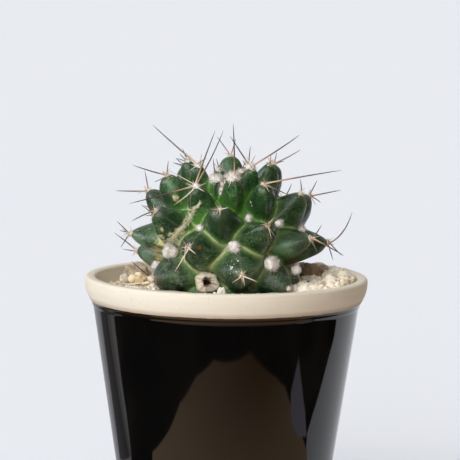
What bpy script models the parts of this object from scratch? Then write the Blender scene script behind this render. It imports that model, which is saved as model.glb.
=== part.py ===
"""A small potted cactus: a spiral of spiny tubercles in a black-glazed clay pot.

Metres, +Z up. The origin is the centre of the pot's foot, on the pot's axis,
and the front is towards -Y. The plant stands in a plain hole in the soil, and
the stones lie in their own pockets in it.
"""

import math
import random

import bmesh
import bpy
from mathutils import Matrix, Vector, noise

MM = 0.001
GAP = 0.3 * MM

# Pot, turned on the Z axis. Heights under the rim count down from the lip.
POT_HEIGHT = 78.0 * MM
RIM_RADIUS = 40.0 * MM
LIP_WIDTH = 2.9 * MM
LIP_ROUND = 0.9 * MM
BAND_HEIGHT = 7.4 * MM
BAND_UPRIGHT = 1.8 * MM
BAND_UNDERCUT = 2.0 * MM
BAND_CURVE = 1.8
BODY_TOP_RADIUS = 37.75 * MM
WALL_SLOPE = 0.15
FOOT_ROUND = 0.8 * MM
FOOT_RING_WIDTH = 5.0 * MM
FOOT_RECESS = 1.2 * MM
FLOOR_TOP = 5.0 * MM
FLOOR_RADIUS = 24.9 * MM
DRAIN_RADIUS = 5.5 * MM
POT_STEPS = 60

# Soil, turned, with its grains raised by a formula outside the plant's reach.
SOIL_LEVEL = POT_HEIGHT - 2.6 * MM
SOIL_RISE_RIGHT = 2.4 * MM
SOIL_RISE_FRONT = -0.2 * MM
SOIL_STEPS = 56
SOIL_ROWS = 5
GRAIN_SIZE = 3.2 * MM
GRAIN_HEIGHT = 1.1 * MM
SEAT_LEVEL = POT_HEIGHT - 2.8 * MM
SEAT_RADIUS = 19.0 * MM
SEAT_DEPTH = 12.0 * MM
SEAT_BOTTOM_RADIUS = 13.0 * MM
SEAT_FLAT_END = 28.0 * MM

# Plant. Its own frame stands a little over the rim and leans to the front.
PLANT_CENTRE = Vector((0.15 * MM, 3.4 * MM, POT_HEIGHT + 9.9 * MM))
LEAN_FRONT = math.radians(16.9)
LEAN_LEFT = math.radians(1.7)
CORE_RADIUS = 17.0 * MM
CORE_HEIGHT = 15.0 * MM
STEM_RADIUS = 15.0 * MM
STEM_TOP = SEAT_LEVEL + 0.6 * MM

# Spiral of tubercles: number 0 is the youngest, at the apex.
TUBERCLES = 47
GOLDEN_ANGLE = math.radians(137.508)
FIRST_AZIMUTH = math.radians(-51.1)
SPREAD_ANGLE = math.radians(69.7)
SPREAD_NUMBER = 26.0
SPREAD_POWER = 1.24
HEAD_RADIUS = 28.3 * MM
HEAD_HEIGHT = 24.4 * MM
HEAD_SQUARENESS = 1.86
YOUNG_CROWD = 0.78
CROWD_NUMBER = 8.0
APEX_NUMBER = 5
APEX_DIP = 5.2 * MM
TUBERCLE_LENGTH = 13.0 * MM
YOUNG_LENGTH_SHARE = 0.7
LENGTH_NUMBER = 10.0
POINTING_SHARE = 0.55
POINTING_GROWTH = 0.4
YOUNG_ROOT = 2.6 * MM
OLD_ROOT = 8.7 * MM
OLD_NUMBER = 28.0
TUBERCLE_BEND = math.radians(12.0)
STRAIGHT_NUMBER = 36.0
LOWEST_POINTING = math.radians(96.0)
YOUNG_BLUNTNESS = 0.33
OLD_BLUNTNESS = 0.6
BLUNT_FROM, BLUNT_TO = 16.0, 28.0
SECTION_SIDE = 1.05
SECTION_UPPER = 0.74
SECTION_LOWER = 1.22
ROOT_SQUARENESS = 0.70
SQUARENESS_POWER = 0.7
TUBERCLE_SIDES = 10
TUBERCLE_RINGS = (0.02, 0.11, 0.3, 0.6, 1.0)

# Places, in millimetres, where a tubercle stands off the even spiral.
OFF_SPIRAL = {
    5: (-1.6, 0.0, -3.5),
    6: (0.0, 0.0, -4.4),
    7: (1.0, 0.0, -0.5),
    8: (-0.4, 0.0, 0.6),
    9: (0.0, 0.0, -5.2),
    10: (-0.3, 0.0, 0.8),
    11: (-1.4, 0.0, -0.3),
    12: (0.0, 0.0, 0.4),
    14: (2.2, 0.0, -0.7),
    15: (-0.9, 0.0, 1.7),
    16: (0.3, 0.0, 0.8),
    18: (0.3, 0.0, 0.3),
    21: (-0.6, 0.0, 0.0),
    23: (0.5, 0.0, 1.2),
    24: (0.6, 0.0, 0.8),
    25: (0.0, 0.0, -0.5),
    26: (1.0, 0.0, -0.1),
    28: (0.0, 0.0, 0.3),
    29: (0.0, 0.0, 0.3),
    31: (0.9, 0.0, -0.2),
    33: (0.4, 0.0, -0.2),
    34: (0.0, 0.0, -0.5),
    37: (0.3, 0.0, 2.5),
    41: (-1.6, -4.0, 4.0),
}

# Shares by which a tubercle is broader, higher above its axis and deeper below it.
BUILD = {
    7: (0.92, 1.0, 1.0),
    8: (0.85, 1.0, 1.0),
    10: (0.86, 1.0, 1.0),
    11: (0.72, 1.0, 1.0),
    12: (0.76, 1.0, 1.0),
    13: (0.95, 1.0, 1.0),
    15: (0.80, 1.0, 1.0),
    16: (0.82, 1.0, 0.95),
    20: (0.86, 0.95, 1.0),
    21: (0.86, 0.95, 0.95),
    23: (0.98, 0.62, 0.88),
    24: (0.82, 0.9, 0.9),
    26: (0.98, 1.0, 0.85),
    28: (0.95, 0.62, 0.72),
    29: (0.95, 0.9, 0.62),
    33: (0.9, 0.85, 0.8),
    36: (0.86, 1.0, 1.0),
}

# Degrees by which a tubercle points aside of its azimuth and up from its pointing angle.
TURNED = {15: (-35.0, 0.0), 34: (0.0, 7.3), 36: (0.0, 3.3)}

# Spines that stand out, as reach from the areole in millimetres: right, back, up.
SPINE_REACH = {
    5: ((-0.9, -1.0, 5.4),),
    7: ((-6.1, -1.5, 9.2), (13.6, 4.0, 8.7), (-4.3, -5.5, -3.7)),
    8: ((-12.8, 6.0, 10.5), (2.5, -3.0, 2.0)),
    10: ((-0.5, -3.0, 15.0), (3.0, -4.5, -2.0)),
    12: ((8.7, 3.0, 4.2), (0.2, -1.0, 3.4)),
    13: ((-17.9, -7.0, -4.5), (-6.1, -5.0, -4.8), (5.6, 1.0, 15.7), (7.9, 2.0, 15.5), (2.8, -3.5, -1.1)),
    14: ((-4.0, 5.0, 5.2), (1.5, 2.0, 5.0)),
    15: ((21.2, -5.0, 4.5), (7.3, -4.0, -2.8), (2.1, -2.0, 3.6)),
    16: ((-10.1, 0.0, 2.8), (0.5, 1.0, 4.3), (-3.4, -3.5, -1.4)),
    18: ((-2.6, -3.5, 0.6), (2.3, -3.5, 0.9), (0.0, -3.5, -1.7)),
    20: ((-0.4, -1.0, 4.3), (2.5, -3.0, -1.4)),
    21: ((-6.7, -3.5, -2.8), (-3.4, 0.5, 1.1)),
    23: ((2.9, -3.5, -4.0), (2.9, -3.0, 2.4), (-0.5, -3.0, 2.6)),
    24: ((-9.2, 0.0, 0.0), (-1.1, 1.5, 5.6)),
    25: ((8.7, 1.5, 1.7), (2.2, 1.0, 4.3), (3.2, 0.0, -2.0)),
    26: ((-4.2, -4.0, -7.0), (2.3, -3.5, -1.7), (-1.2, -3.0, 3.0)),
    28: ((8.7, -4.0, -4.3), (2.7, -2.0, 4.3), (1.9, -3.5, -3.5)),
    29: ((-3.5, -1.0, 3.7), (-2.6, -2.5, -3.8), (-3.0, 0.0, 0.6)),
    31: ((-3.0, -3.0, -1.6), (4.2, -3.0, -1.2), (0.4, -4.0, -2.2)),
    33: ((6.7, 0.0, 8.9), (3.9, -1.5, -4.0), (1.5, -2.0, -5.0)),
    34: ((-6.5, -2.0, 5.7), (-6.0, -2.5, -1.0)),
    37: ((-6.8, 2.0, 5.1), (-4.0, 1.0, 0.5)),
    41: ((-1.8, -5.0, -1.5), (3.0, -3.0, 1.5)),
    # Half hidden behind the apex, the few that can be made out.
    6: ((-0.8, 1.0, 3.0),),
    9: ((1.5, 1.0, 3.0),),
    11: ((-2.4, 1.0, 2.2), (-1.5, 1.5, 3.4), (-3.0, 1.0, 0.8)),
    17: ((1.0, 1.5, 3.6), (3.0, 1.0, 0.8)),
    19: ((-2.6, 1.0, 2.0), (-3.4, 1.5, 0.6)),
}
SPINE_RADIUS = 0.24 * MM
SPINE_TIP_RADIUS = 0.06 * MM
SPINE_SIDES = 3
SPINE_ROOT_DEPTH = 1.2 * MM
SPINES_AROUND = 3
YOUNG_SPINE = 12.0 * MM
OLD_SPINE = 5.5 * MM
SPINE_CLEARANCE = 0.8 * MM
SPINE_SEED = 7
MELT_DISTANCE = 0.002 * MM

YOUNG_AREOLE = 1.9 * MM
OLD_AREOLE = 1.0 * MM
WOOL_FIRST = 26
YOUNG_WOOL = 1.1 * MM
OLD_WOOL = 2.5 * MM
WOOL_GROWTH = 0.28 * MM
WOOL_DEPTH = 5.2 * MM
WOOL_SIDES = 6, 3
# A tubercle and the one this many numbers younger stand in one row; its axil is between them.
ROW_STEP = 13
AXIL_SHARE = 0.4

# Stones: centre right, centre back and height over the rim, then half sizes, in millimetres.
STONES = {
    "stone_white": ((-28.3, -1.0, -1.4), (2.1, 2.0, 2.0), (0.74, 0.66, 0.54)),
    "stone_ochre": ((-24.1, -4.0, -1.3), (2.3, 1.8, 1.7), (0.72, 0.52, 0.28)),
    "stone_grey": ((-26.0, 17.5, -1.6), (4.2, 2.6, 3.2), (0.44, 0.36, 0.26)),
    "stone_brown": ((24.6, 11.5, -0.5), (3.6, 3.0, 3.2), (0.20, 0.13, 0.08)),
    "pumice_large": ((30.9, 3.2, -0.4), (3.1, 2.6, 1.8), (0.74, 0.66, 0.52)),
    "pumice_small": ((33.2, -5.0, -0.5), (1.7, 1.6, 1.3), (0.72, 0.63, 0.49)),
    "pumice_chip": ((27.0, -11.0, -1.1), (1.9, 1.5, 1.5), (0.72, 0.64, 0.50)),
    "grain_front": ((-1.3, -31.0, -1.1), (1.3, 1.2, 1.9), (0.76, 0.70, 0.58)),
    "stone_back_left": ((-17.0, 27.5, -2.4), (2.6, 2.1, 1.7), (0.62, 0.52, 0.38)),
    "stone_back": ((3.0, 33.0, -2.2), (2.2, 1.8, 1.6), (0.70, 0.62, 0.50)),
    "stone_back_right": ((19.0, 27.4, -1.9), (2.4, 2.0, 1.8), (0.46, 0.33, 0.20)),
}
STONE_ROUGHNESS = 0.14
STONE_LUMPS = 1.7


def clear_scene():
    for obj in list(bpy.data.objects):
        bpy.data.objects.remove(obj, do_unlink=True)


def new_collection(name):
    collection = bpy.data.collections.new(name)
    bpy.context.scene.collection.children.link(collection)
    return collection


def new_material(name, colour, roughness, metallic=0.0):
    material = bpy.data.materials.new(name)
    material.use_nodes = True
    shader = material.node_tree.nodes["Principled BSDF"]
    shader.inputs["Base Color"].default_value = (*colour, 1.0)
    shader.inputs["Roughness"].default_value = roughness
    shader.inputs["Metallic"].default_value = metallic
    return material


def new_object(name, bm, collection):
    """A mesh object made from a bmesh, which is then freed."""
    mesh = bpy.data.meshes.new(name)
    bm.to_mesh(mesh)
    bm.free()
    obj = bpy.data.objects.new(name, mesh)
    collection.objects.link(obj)
    return obj


def apply_modifiers(obj):
    """Gives the object the mesh that its modifiers make."""
    graph = bpy.context.evaluated_depsgraph_get()
    mesh = bpy.data.meshes.new_from_object(obj.evaluated_get(graph))
    obj.modifiers.clear()
    obj.data = mesh


def finish(obj, material, angle=40.0):
    obj.data.materials.clear()
    obj.data.materials.append(material)
    obj.data.shade_smooth()
    obj.data.set_sharp_from_angle(angle=math.radians(angle))


def turned(name, profile, steps, collection, closed=False):
    """Turns a profile of (radius, height) points, outer side downwards, round the Z axis."""
    bm = bmesh.new()
    points = [bm.verts.new((radius, 0.0, height)) for radius, height in profile]
    for start, end in zip(points, points[1:]):
        bm.edges.new((start, end))
    if closed:
        bm.edges.new((points[-1], points[0]))
    obj = new_object(name, bm, collection)
    screw = obj.modifiers.new("Turn", "SCREW")
    screw.axis = "Z"
    screw.steps = steps
    screw.render_steps = steps
    screw.use_merge_vertices = True
    screw.merge_threshold = 0.00001
    return obj


def arc(centre, radius, start, end, count):
    """Points of an arc in the profile's plane; angles in degrees, 0 outwards, 90 up."""
    points = []
    for index in range(count + 1):
        angle = math.radians(start + (end - start) * index / count)
        points.append((centre[0] + radius * math.cos(angle), centre[1] + radius * math.sin(angle)))
    return points


def body_radius(height):
    """Outer radius of the glazed body at a height over the foot."""
    return BODY_TOP_RADIUS - WALL_SLOPE * (POT_HEIGHT - BAND_HEIGHT - height)


def inner_radius(height):
    """Radius of the pot's inner wall, a straight cone from the lip to the floor."""
    top = RIM_RADIUS - LIP_WIDTH
    share = (height - FLOOR_TOP) / (POT_HEIGHT - FLOOR_TOP)
    return FLOOR_RADIUS + (top - FLOOR_RADIUS) * share


def pot_profile():
    """The pot's closed section: band, body, foot ring, recess, drain hole, floor and inner wall."""
    crown = POT_HEIGHT - LIP_ROUND
    points = arc((RIM_RADIUS - LIP_ROUND, crown), LIP_ROUND, 90, 0, 3)
    bulge = BAND_HEIGHT - BAND_UPRIGHT
    for share in (0.0, 0.3, 0.55, 0.75, 0.9, 1.0):
        radius = RIM_RADIUS - BAND_UNDERCUT * share**BAND_CURVE
        points.append((radius, POT_HEIGHT - BAND_UPRIGHT - bulge * share))
    points.append((BODY_TOP_RADIUS, POT_HEIGHT - BAND_HEIGHT - 0.25 * MM))
    for height in (0.66 * POT_HEIGHT, 0.33 * POT_HEIGHT):
        points.append((body_radius(height), height))
    foot = body_radius(0.0)
    points += arc((foot - FOOT_ROUND, FOOT_ROUND), FOOT_ROUND, 0, -90, 2)
    ring_inner = foot - FOOT_ROUND - FOOT_RING_WIDTH
    points.append((ring_inner, 0.0))
    points.append((ring_inner - FOOT_RECESS, FOOT_RECESS))
    points.append((DRAIN_RADIUS, FOOT_RECESS))
    points.append((DRAIN_RADIUS, FLOOR_TOP))
    points.append((FLOOR_RADIUS, FLOOR_TOP))
    inner_edge = POT_HEIGHT - LIP_ROUND
    points.append((inner_radius(inner_edge), inner_edge))
    points += arc((inner_radius(inner_edge) + LIP_ROUND, inner_edge), LIP_ROUND, 150, 110, 1)
    return points


def make_pot(collection):
    pot = turned("pot", pot_profile(), POT_STEPS, collection, closed=True)
    finish(pot, new_material("pot", (0.012, 0.010, 0.009), 0.12))
    return pot


def soil_height(x, y):
    """Height of the soil: a slope up to the right and front, with rounded grains on it."""
    slope = SOIL_RISE_RIGHT * x / RIM_RADIUS - SOIL_RISE_FRONT * y / RIM_RADIUS
    distances = noise.voronoi(Vector((x, y, 0.0)) / GRAIN_SIZE)[0]
    grain = GRAIN_HEIGHT * (0.5 - distances[0])
    reach = math.hypot(x, y)
    share = min(1.0, max(0.0, (reach - SEAT_FLAT_END) / (3.0 * MM)))
    return SEAT_LEVEL + (SOIL_LEVEL + slope + grain - SEAT_LEVEL) * share


def seat_profile(clearance):
    """The hole for the plant, from its bottom centre to its rim; the plant's is smaller by the gap."""
    radius = SEAT_RADIUS - clearance
    bottom = SEAT_LEVEL - SEAT_DEPTH + clearance
    return [
        (0.0, bottom),
        (SEAT_BOTTOM_RADIUS - clearance, bottom),
        (0.5 * (SEAT_BOTTOM_RADIUS + SEAT_RADIUS) + 1.5 * MM - clearance, bottom + 0.28 * SEAT_DEPTH),
        (radius, bottom + 0.7 * SEAT_DEPTH),
        (radius, SEAT_LEVEL),
    ]


def make_soil(collection):
    """Soil that fills the pot, with the plant's hole and a rough top."""
    edge = inner_radius(SOIL_LEVEL) - GAP
    top = [(SEAT_FLAT_END, SEAT_LEVEL)]
    for row in range(1, SOIL_ROWS + 1):
        top.append((SEAT_FLAT_END + (edge - SEAT_FLAT_END) * row / SOIL_ROWS, SEAT_LEVEL))
    side_top = POT_HEIGHT - 6.0 * MM
    side = [(inner_radius(side_top) - GAP, side_top), (FLOOR_RADIUS - GAP, FLOOR_TOP + GAP)]
    profile = seat_profile(0.0) + top + side + [(0.0, FLOOR_TOP + GAP)]
    soil = turned("soil", profile, SOIL_STEPS, collection)
    apply_modifiers(soil)
    for vertex in soil.data.vertices:
        x, y, z = vertex.co
        reach = math.hypot(x, y)
        if abs(z - SEAT_LEVEL) > 0.01 * MM or reach < SEAT_FLAT_END:
            continue
        height = soil_height(x, y)
        inward = min(1.0, (inner_radius(height) - GAP) / reach)
        vertex.co = (x * inward, y * inward, height)
    finish(soil, new_material("soil", (0.62, 0.53, 0.40), 0.95))
    return soil


def make_stone(name, centre, half, colour, collection):
    """A worn stone: a sphere stretched to size and roughened by noise."""
    place = Vector(centre) * MM + Vector((0.0, 0.0, POT_HEIGHT))
    bm = bmesh.new()
    bmesh.ops.create_icosphere(bm, subdivisions=2, radius=1.0)
    for vertex in bm.verts:
        swell = 1.0 + STONE_ROUGHNESS * noise.noise(STONE_LUMPS * vertex.co + place / MM)
        vertex.co = Vector([swell * part * size * MM for part, size in zip(vertex.co, half)])
    stone = new_object(name, bm, collection)
    stone.location = place
    finish(stone, new_material(name, colour, 0.85), angle=60.0)
    return stone


def cut_pockets(soil, stones, cutters):
    """Cuts each stone's pocket in the soil, wider than the stone by the gap."""
    for stone in stones:
        pocket = bpy.data.objects.new(stone.name + "_pocket", stone.data.copy())
        widen = 1.0 + 1.25 * GAP / (0.5 * min(stone.dimensions))
        pocket.data.transform(Matrix.Scale(widen, 4))
        pocket.location = stone.location
        pocket.hide_render = True
        pocket.display_type = "WIRE"
        cutters.objects.link(pocket)
    cut = soil.modifiers.new("Pockets", "BOOLEAN")
    cut.operation = "DIFFERENCE"
    cut.operand_type = "COLLECTION"
    cut.collection = cutters


def plant_matrix():
    lean = Matrix.Rotation(-LEAN_LEFT, 4, "Y") @ Matrix.Rotation(LEAN_FRONT, 4, "X")
    return Matrix.Translation(PLANT_CENTRE) @ lean


def tubercle_place(number):
    """Azimuth, polar angle and areole of a tubercle, in the plant's own frame."""
    azimuth = FIRST_AZIMUTH - GOLDEN_ANGLE * number
    polar = SPREAD_ANGLE * (number / SPREAD_NUMBER) ** SPREAD_POWER
    across, along = math.sin(polar), math.cos(polar)
    power = HEAD_SQUARENESS
    square = (abs(across) ** power + abs(along) ** power) ** (-1.0 / power)
    crowd = YOUNG_CROWD + (1.0 - YOUNG_CROWD) * min(1.0, number / CROWD_NUMBER)
    reach = HEAD_RADIUS * square * across * crowd
    tip = Vector((reach * math.sin(azimuth), -reach * math.cos(azimuth), HEAD_HEIGHT * square * along))
    if number < APEX_NUMBER:
        tip.z -= APEX_DIP
    return azimuth, polar, tip + MM * Vector(OFF_SPIRAL.get(number, (0.0, 0.0, 0.0)))


def direction(azimuth, polar):
    return Vector((
        math.sin(polar) * math.sin(azimuth),
        -math.sin(polar) * math.cos(azimuth),
        math.cos(polar),
    ))


def tubercle_axis(number):
    """Azimuth, pointing angle, tip, length and root radius; old ones are long and broad."""
    azimuth, polar, tip = tubercle_place(number)
    share = POINTING_SHARE + POINTING_GROWTH * polar / (0.5 * math.pi)
    pointing = min(LOWEST_POINTING, polar * share)
    age = min(1.0, number / OLD_NUMBER)
    grown = min(1.0, number / LENGTH_NUMBER)
    length = TUBERCLE_LENGTH * (YOUNG_LENGTH_SHARE + (1.0 - YOUNG_LENGTH_SHARE) * grown)
    root = YOUNG_ROOT + (OLD_ROOT - YOUNG_ROOT) * age**1.1
    aside, raised = TURNED.get(number, (0.0, 0.0))
    return azimuth + math.radians(aside), pointing - math.radians(raised), tip, length, root


def tubercle(number):
    """A four-angled, keeled cone that bends up to its blunt tip."""
    azimuth, pointing, tip, length, root = tubercle_axis(number)
    side = Vector((math.cos(azimuth), math.sin(azimuth), 0.0))
    blunt = min(1.0, max(0.0, (number - BLUNT_FROM) / (BLUNT_TO - BLUNT_FROM)))
    bluntness = YOUNG_BLUNTNESS + (OLD_BLUNTNESS - YOUNG_BLUNTNESS) * blunt
    bend = TUBERCLE_BEND * min(1.0, max(0.0, (STRAIGHT_NUMBER - number) / 6.0))
    rings = len(TUBERCLE_RINGS) + 1
    broad, high, deep = BUILD.get(number, (1.0, 1.0, 1.0))
    bm = bmesh.new()
    bmesh.ops.create_uvsphere(bm, u_segments=TUBERCLE_SIDES, v_segments=rings, radius=1.0)
    for vertex in bm.verts:
        row = round(math.acos(max(-1.0, min(1.0, vertex.co.z))) / math.pi * rings)
        turn = math.atan2(vertex.co.y, vertex.co.x)
        share = 0.0 if row == 0 else TUBERCLE_RINGS[min(row, rings - 1) - 1]
        axis = direction(azimuth, pointing + bend * share)
        centre = tip - axis * length * share
        upper = axis.cross(side)
        if row in (0, rings):
            vertex.co = centre
            continue
        # The section goes from a rounded rhombus at the root to a circle at the tip.
        power = 2.0 - ROOT_SQUARENESS * share**SQUARENESS_POWER
        shape = (abs(math.cos(turn)) ** power + abs(math.sin(turn)) ** power) ** (-1.0 / power)
        radius = root * share**bluntness * shape
        height = SECTION_UPPER * high if math.sin(turn) > 0.0 else SECTION_LOWER * deep
        breadth = SECTION_SIDE * broad
        vertex.co = centre + radius * (breadth * math.cos(turn) * side + height * math.sin(turn) * upper)
    bmesh.ops.recalc_face_normals(bm, faces=bm.faces)
    return bm


def spine(start, reach):
    """A thin three-sided needle from inside the areole, along its reach."""
    length = reach.length + SPINE_ROOT_DEPTH
    along = reach.normalized()
    middle = start + along * (0.5 * length - SPINE_ROOT_DEPTH)
    place = Matrix.Translation(middle) @ along.to_track_quat("Z", "Y").to_matrix().to_4x4()
    bm = bmesh.new()
    bmesh.ops.create_cone(
        bm, cap_ends=True, segments=SPINE_SIDES, radius1=SPINE_RADIUS,
        radius2=SPINE_TIP_RADIUS, depth=length, matrix=place,
    )
    return bm


def is_clear(start, reach):
    """True where a spine stays over the soil and over the pot's lip."""
    for share in (0.4, 0.7, 1.0):
        point = start + reach * share
        outside = math.hypot(point.x, point.y)
        if outside > RIM_RADIUS - SPINE_CLEARANCE:
            return False
        floor = POT_HEIGHT if outside > SEAT_FLAT_END + 4.0 * MM else SOIL_LEVEL
        if point.z < floor + 2.0 * SPINE_CLEARANCE:
            return False
    return True


def spine_reaches(number, draw):
    """Reach of each spine of one areole, in the world's frame."""
    turn = plant_matrix().to_3x3()
    azimuth, pointing = tubercle_axis(number)[:2]
    if number in SPINE_REACH:
        return [MM * Vector(reach) for reach in SPINE_REACH[number]]
    if number < APEX_NUMBER:
        return []
    axis = direction(azimuth, pointing)
    side = Vector((math.cos(azimuth), math.sin(azimuth), 0.0))
    upper = axis.cross(side)
    age = min(1.0, number / SPREAD_NUMBER)
    full = YOUNG_SPINE + (OLD_SPINE - YOUNG_SPINE) * age
    reaches = []
    for index in range(SPINES_AROUND):
        around = math.radians(90.0 + 360.0 * index / SPINES_AROUND + draw.uniform(-25.0, 25.0))
        open_angle = math.radians(draw.uniform(30.0, 55.0) if index else 18.0)
        size = full * (draw.uniform(0.35, 0.6) if index else draw.uniform(0.8, 1.2))
        across = math.cos(around) * side + math.sin(around) * upper
        reaches.append(size * (turn @ (math.cos(open_angle) * axis + math.sin(open_angle) * across)))
    return reaches


def axil_place(number):
    """The centre of the wool in the axil over a tubercle, in the plant's own frame."""
    azimuth, polar, tip = tubercle_place(number)
    upper_polar, upper_tip = tubercle_place(number - ROW_STEP)[1:]
    middle = tip.lerp(upper_tip, AXIL_SHARE)
    return middle - direction(azimuth, 0.5 * (polar + upper_polar)) * WOOL_DEPTH


def ball(centre, radius, sides, rings):
    bm = bmesh.new()
    place = Matrix.Translation(centre)
    bmesh.ops.create_uvsphere(bm, u_segments=sides, v_segments=rings, radius=radius, matrix=place)
    return bm


def tidy_mesh(obj):
    """Melts the hair-thin faces that fusing leaves and keeps only the largest body."""
    bm = bmesh.new()
    bm.from_mesh(obj.data)
    bmesh.ops.triangulate(bm, faces=bm.faces[:])
    bmesh.ops.remove_doubles(bm, verts=bm.verts[:], dist=MELT_DISTANCE)
    bmesh.ops.dissolve_degenerate(bm, edges=bm.edges[:], dist=MELT_DISTANCE)
    left = set(bm.verts)
    bodies = []
    while left:
        body = set()
        edge_of_search = [left.pop()]
        while edge_of_search:
            vertex = edge_of_search.pop()
            body.add(vertex)
            near = {edge.other_vert(vertex) for edge in vertex.link_edges} & left
            left -= near
            edge_of_search += near
        bodies.append(body)
    bodies.sort(key=len)
    scraps = [vertex for body in bodies[:-1] for vertex in body]
    bmesh.ops.delete(bm, geom=scraps, context="VERTS")
    bm.to_mesh(obj.data)
    bm.free()


def make_plant(collection, cutters):
    """Core, tubercles, areoles, wool and spines, fused into one body and cut to its seat."""
    draw = random.Random(SPINE_SEED)
    frame = plant_matrix()
    pieces = new_collection("plant_pieces")
    core = bmesh.new()
    bmesh.ops.create_uvsphere(core, u_segments=20, v_segments=12, radius=CORE_RADIUS)
    for vertex in core.verts:
        vertex.co.z *= CORE_HEIGHT / CORE_RADIUS
    core.transform(frame)
    plant = new_object("plant", core, collection)
    stem = seat_profile(2.0 * GAP)
    stem = [(0.0, STEM_TOP), (STEM_RADIUS, STEM_TOP)] + stem[2:0:-1] + stem[:1]
    root_ball = turned("stem_base", stem, 24, pieces)
    apply_modifiers(root_ball)
    for number in range(TUBERCLES):
        body = tubercle(number)
        body.transform(frame)
        new_object("tubercle", body, pieces)
        tip = frame @ tubercle_place(number)[2]
        wool = YOUNG_AREOLE + (OLD_AREOLE - YOUNG_AREOLE) * min(1.0, number / ROW_STEP)
        new_object("areole", ball(tip, wool, 5, 3), pieces)
        for reach in spine_reaches(number, draw):
            if is_clear(tip, reach):
                new_object("spine", spine(tip, reach), pieces)
        if number >= WOOL_FIRST:
            wool = min(OLD_WOOL, YOUNG_WOOL + WOOL_GROWTH * (number - WOOL_FIRST))
            new_object("wool", ball(frame @ axil_place(number), wool, *WOOL_SIDES), pieces)
    join = plant.modifiers.new("Join", "BOOLEAN")
    join.operation = "UNION"
    join.operand_type = "COLLECTION"
    join.collection = pieces
    apply_modifiers(plant)
    for piece in list(pieces.objects):
        bpy.data.objects.remove(piece, do_unlink=True)
    bpy.data.collections.remove(pieces)
    room = seat_profile(GAP)
    reach = RIM_RADIUS + 5.0 * MM
    top = POT_HEIGHT + 60.0 * MM
    room[-1] = (room[-1][0], SEAT_LEVEL + GAP)
    room += [(reach, SEAT_LEVEL + GAP), (reach, top), (0.0, top)]
    keep = turned("plant_room", room[::-1], 48, cutters)
    keep.hide_render = True
    keep.display_type = "WIRE"
    seat = plant.modifiers.new("Seat", "BOOLEAN")
    seat.operation = "INTERSECT"
    seat.object = keep
    apply_modifiers(plant)
    tidy_mesh(plant)
    finish(plant, new_material("plant", (0.045, 0.10, 0.045), 0.5))
    return plant


def main():
    clear_scene()
    parts = new_collection("potted_cactus")
    cutters = new_collection("cutters")
    pockets = bpy.data.collections.new("pockets")
    cutters.children.link(pockets)
    make_pot(parts)
    soil = make_soil(parts)
    stones = [make_stone(name, *stone, parts) for name, stone in STONES.items()]
    bpy.context.view_layer.update()
    cut_pockets(soil, stones, pockets)
    make_plant(parts, cutters)


main()
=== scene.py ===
"""The looks of a small potted cactus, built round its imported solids.

Metres, +Z up, in the frame of the solids: the origin is the centre of the pot's foot and the
front is towards -Y. The sections follow the object as it is put together.
"""

import math
import random
from types import SimpleNamespace

import bpy
import numpy as np
from mathutils import Matrix, Vector, noise


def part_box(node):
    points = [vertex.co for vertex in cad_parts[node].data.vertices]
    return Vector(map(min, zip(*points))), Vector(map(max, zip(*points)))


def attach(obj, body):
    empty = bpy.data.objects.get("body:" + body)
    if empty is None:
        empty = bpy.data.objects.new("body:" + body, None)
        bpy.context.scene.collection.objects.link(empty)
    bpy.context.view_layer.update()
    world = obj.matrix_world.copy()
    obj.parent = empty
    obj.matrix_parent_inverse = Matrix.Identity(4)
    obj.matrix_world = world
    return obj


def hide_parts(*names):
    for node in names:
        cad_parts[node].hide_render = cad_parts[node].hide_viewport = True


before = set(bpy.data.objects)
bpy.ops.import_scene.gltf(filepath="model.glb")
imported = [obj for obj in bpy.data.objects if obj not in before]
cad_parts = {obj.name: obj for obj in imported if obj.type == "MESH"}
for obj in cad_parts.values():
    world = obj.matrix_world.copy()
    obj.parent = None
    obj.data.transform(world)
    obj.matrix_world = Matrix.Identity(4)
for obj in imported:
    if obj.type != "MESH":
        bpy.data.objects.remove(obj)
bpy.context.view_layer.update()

# Pot. A tapered pot thrown in pale clay, its body dipped in a black glaze. The rim band, the
# inside and the foot ring stay bare. It is made as on a wheel: one ring is pulled up the wall,
# over the lip and down the inside.
MM = 0.001
POT_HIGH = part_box("pot")[1]
RIM_HEIGHT = POT_HIGH.z
RIM_RADIUS = POT_HIGH.x
LIP_WIDTH = 2.9 * MM
LIP_ROUND = 0.9 * MM
BAND_HEIGHT = 7.4 * MM
BAND_UPRIGHT = 1.8 * MM
BAND_UNDERCUT = 2.0 * MM
BAND_CURVE = 1.8
BODY_TOP_RADIUS = 37.75 * MM
WALL_SLOPE = 0.15
FILLET = 1.3 * MM
FILLET_FLARE = 0.4
FOOT_ROUND = 0.8 * MM
FOOT_RING_WIDTH = 5.0 * MM
FOOT_RECESS = 1.2 * MM
FLOOR_TOP = 5.0 * MM
FLOOR_RADIUS = 24.9 * MM
DRAIN_RADIUS = 5.5 * MM
POT_STEPS = 160
BODY_TOP = RIM_HEIGHT - BAND_HEIGHT - 0.25 * MM
GLAZE_TOP = BODY_TOP + 0.95 * MM
GLAZE_WANDER = 0.4 * MM
OUTSIDE_DEPTH = 1.2 * MM
# Rings smaller than this close to a point; models of radius 1 have a pole of their own.
POLE = 0.002 * MM
UNIT_POLE = 0.002


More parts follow.
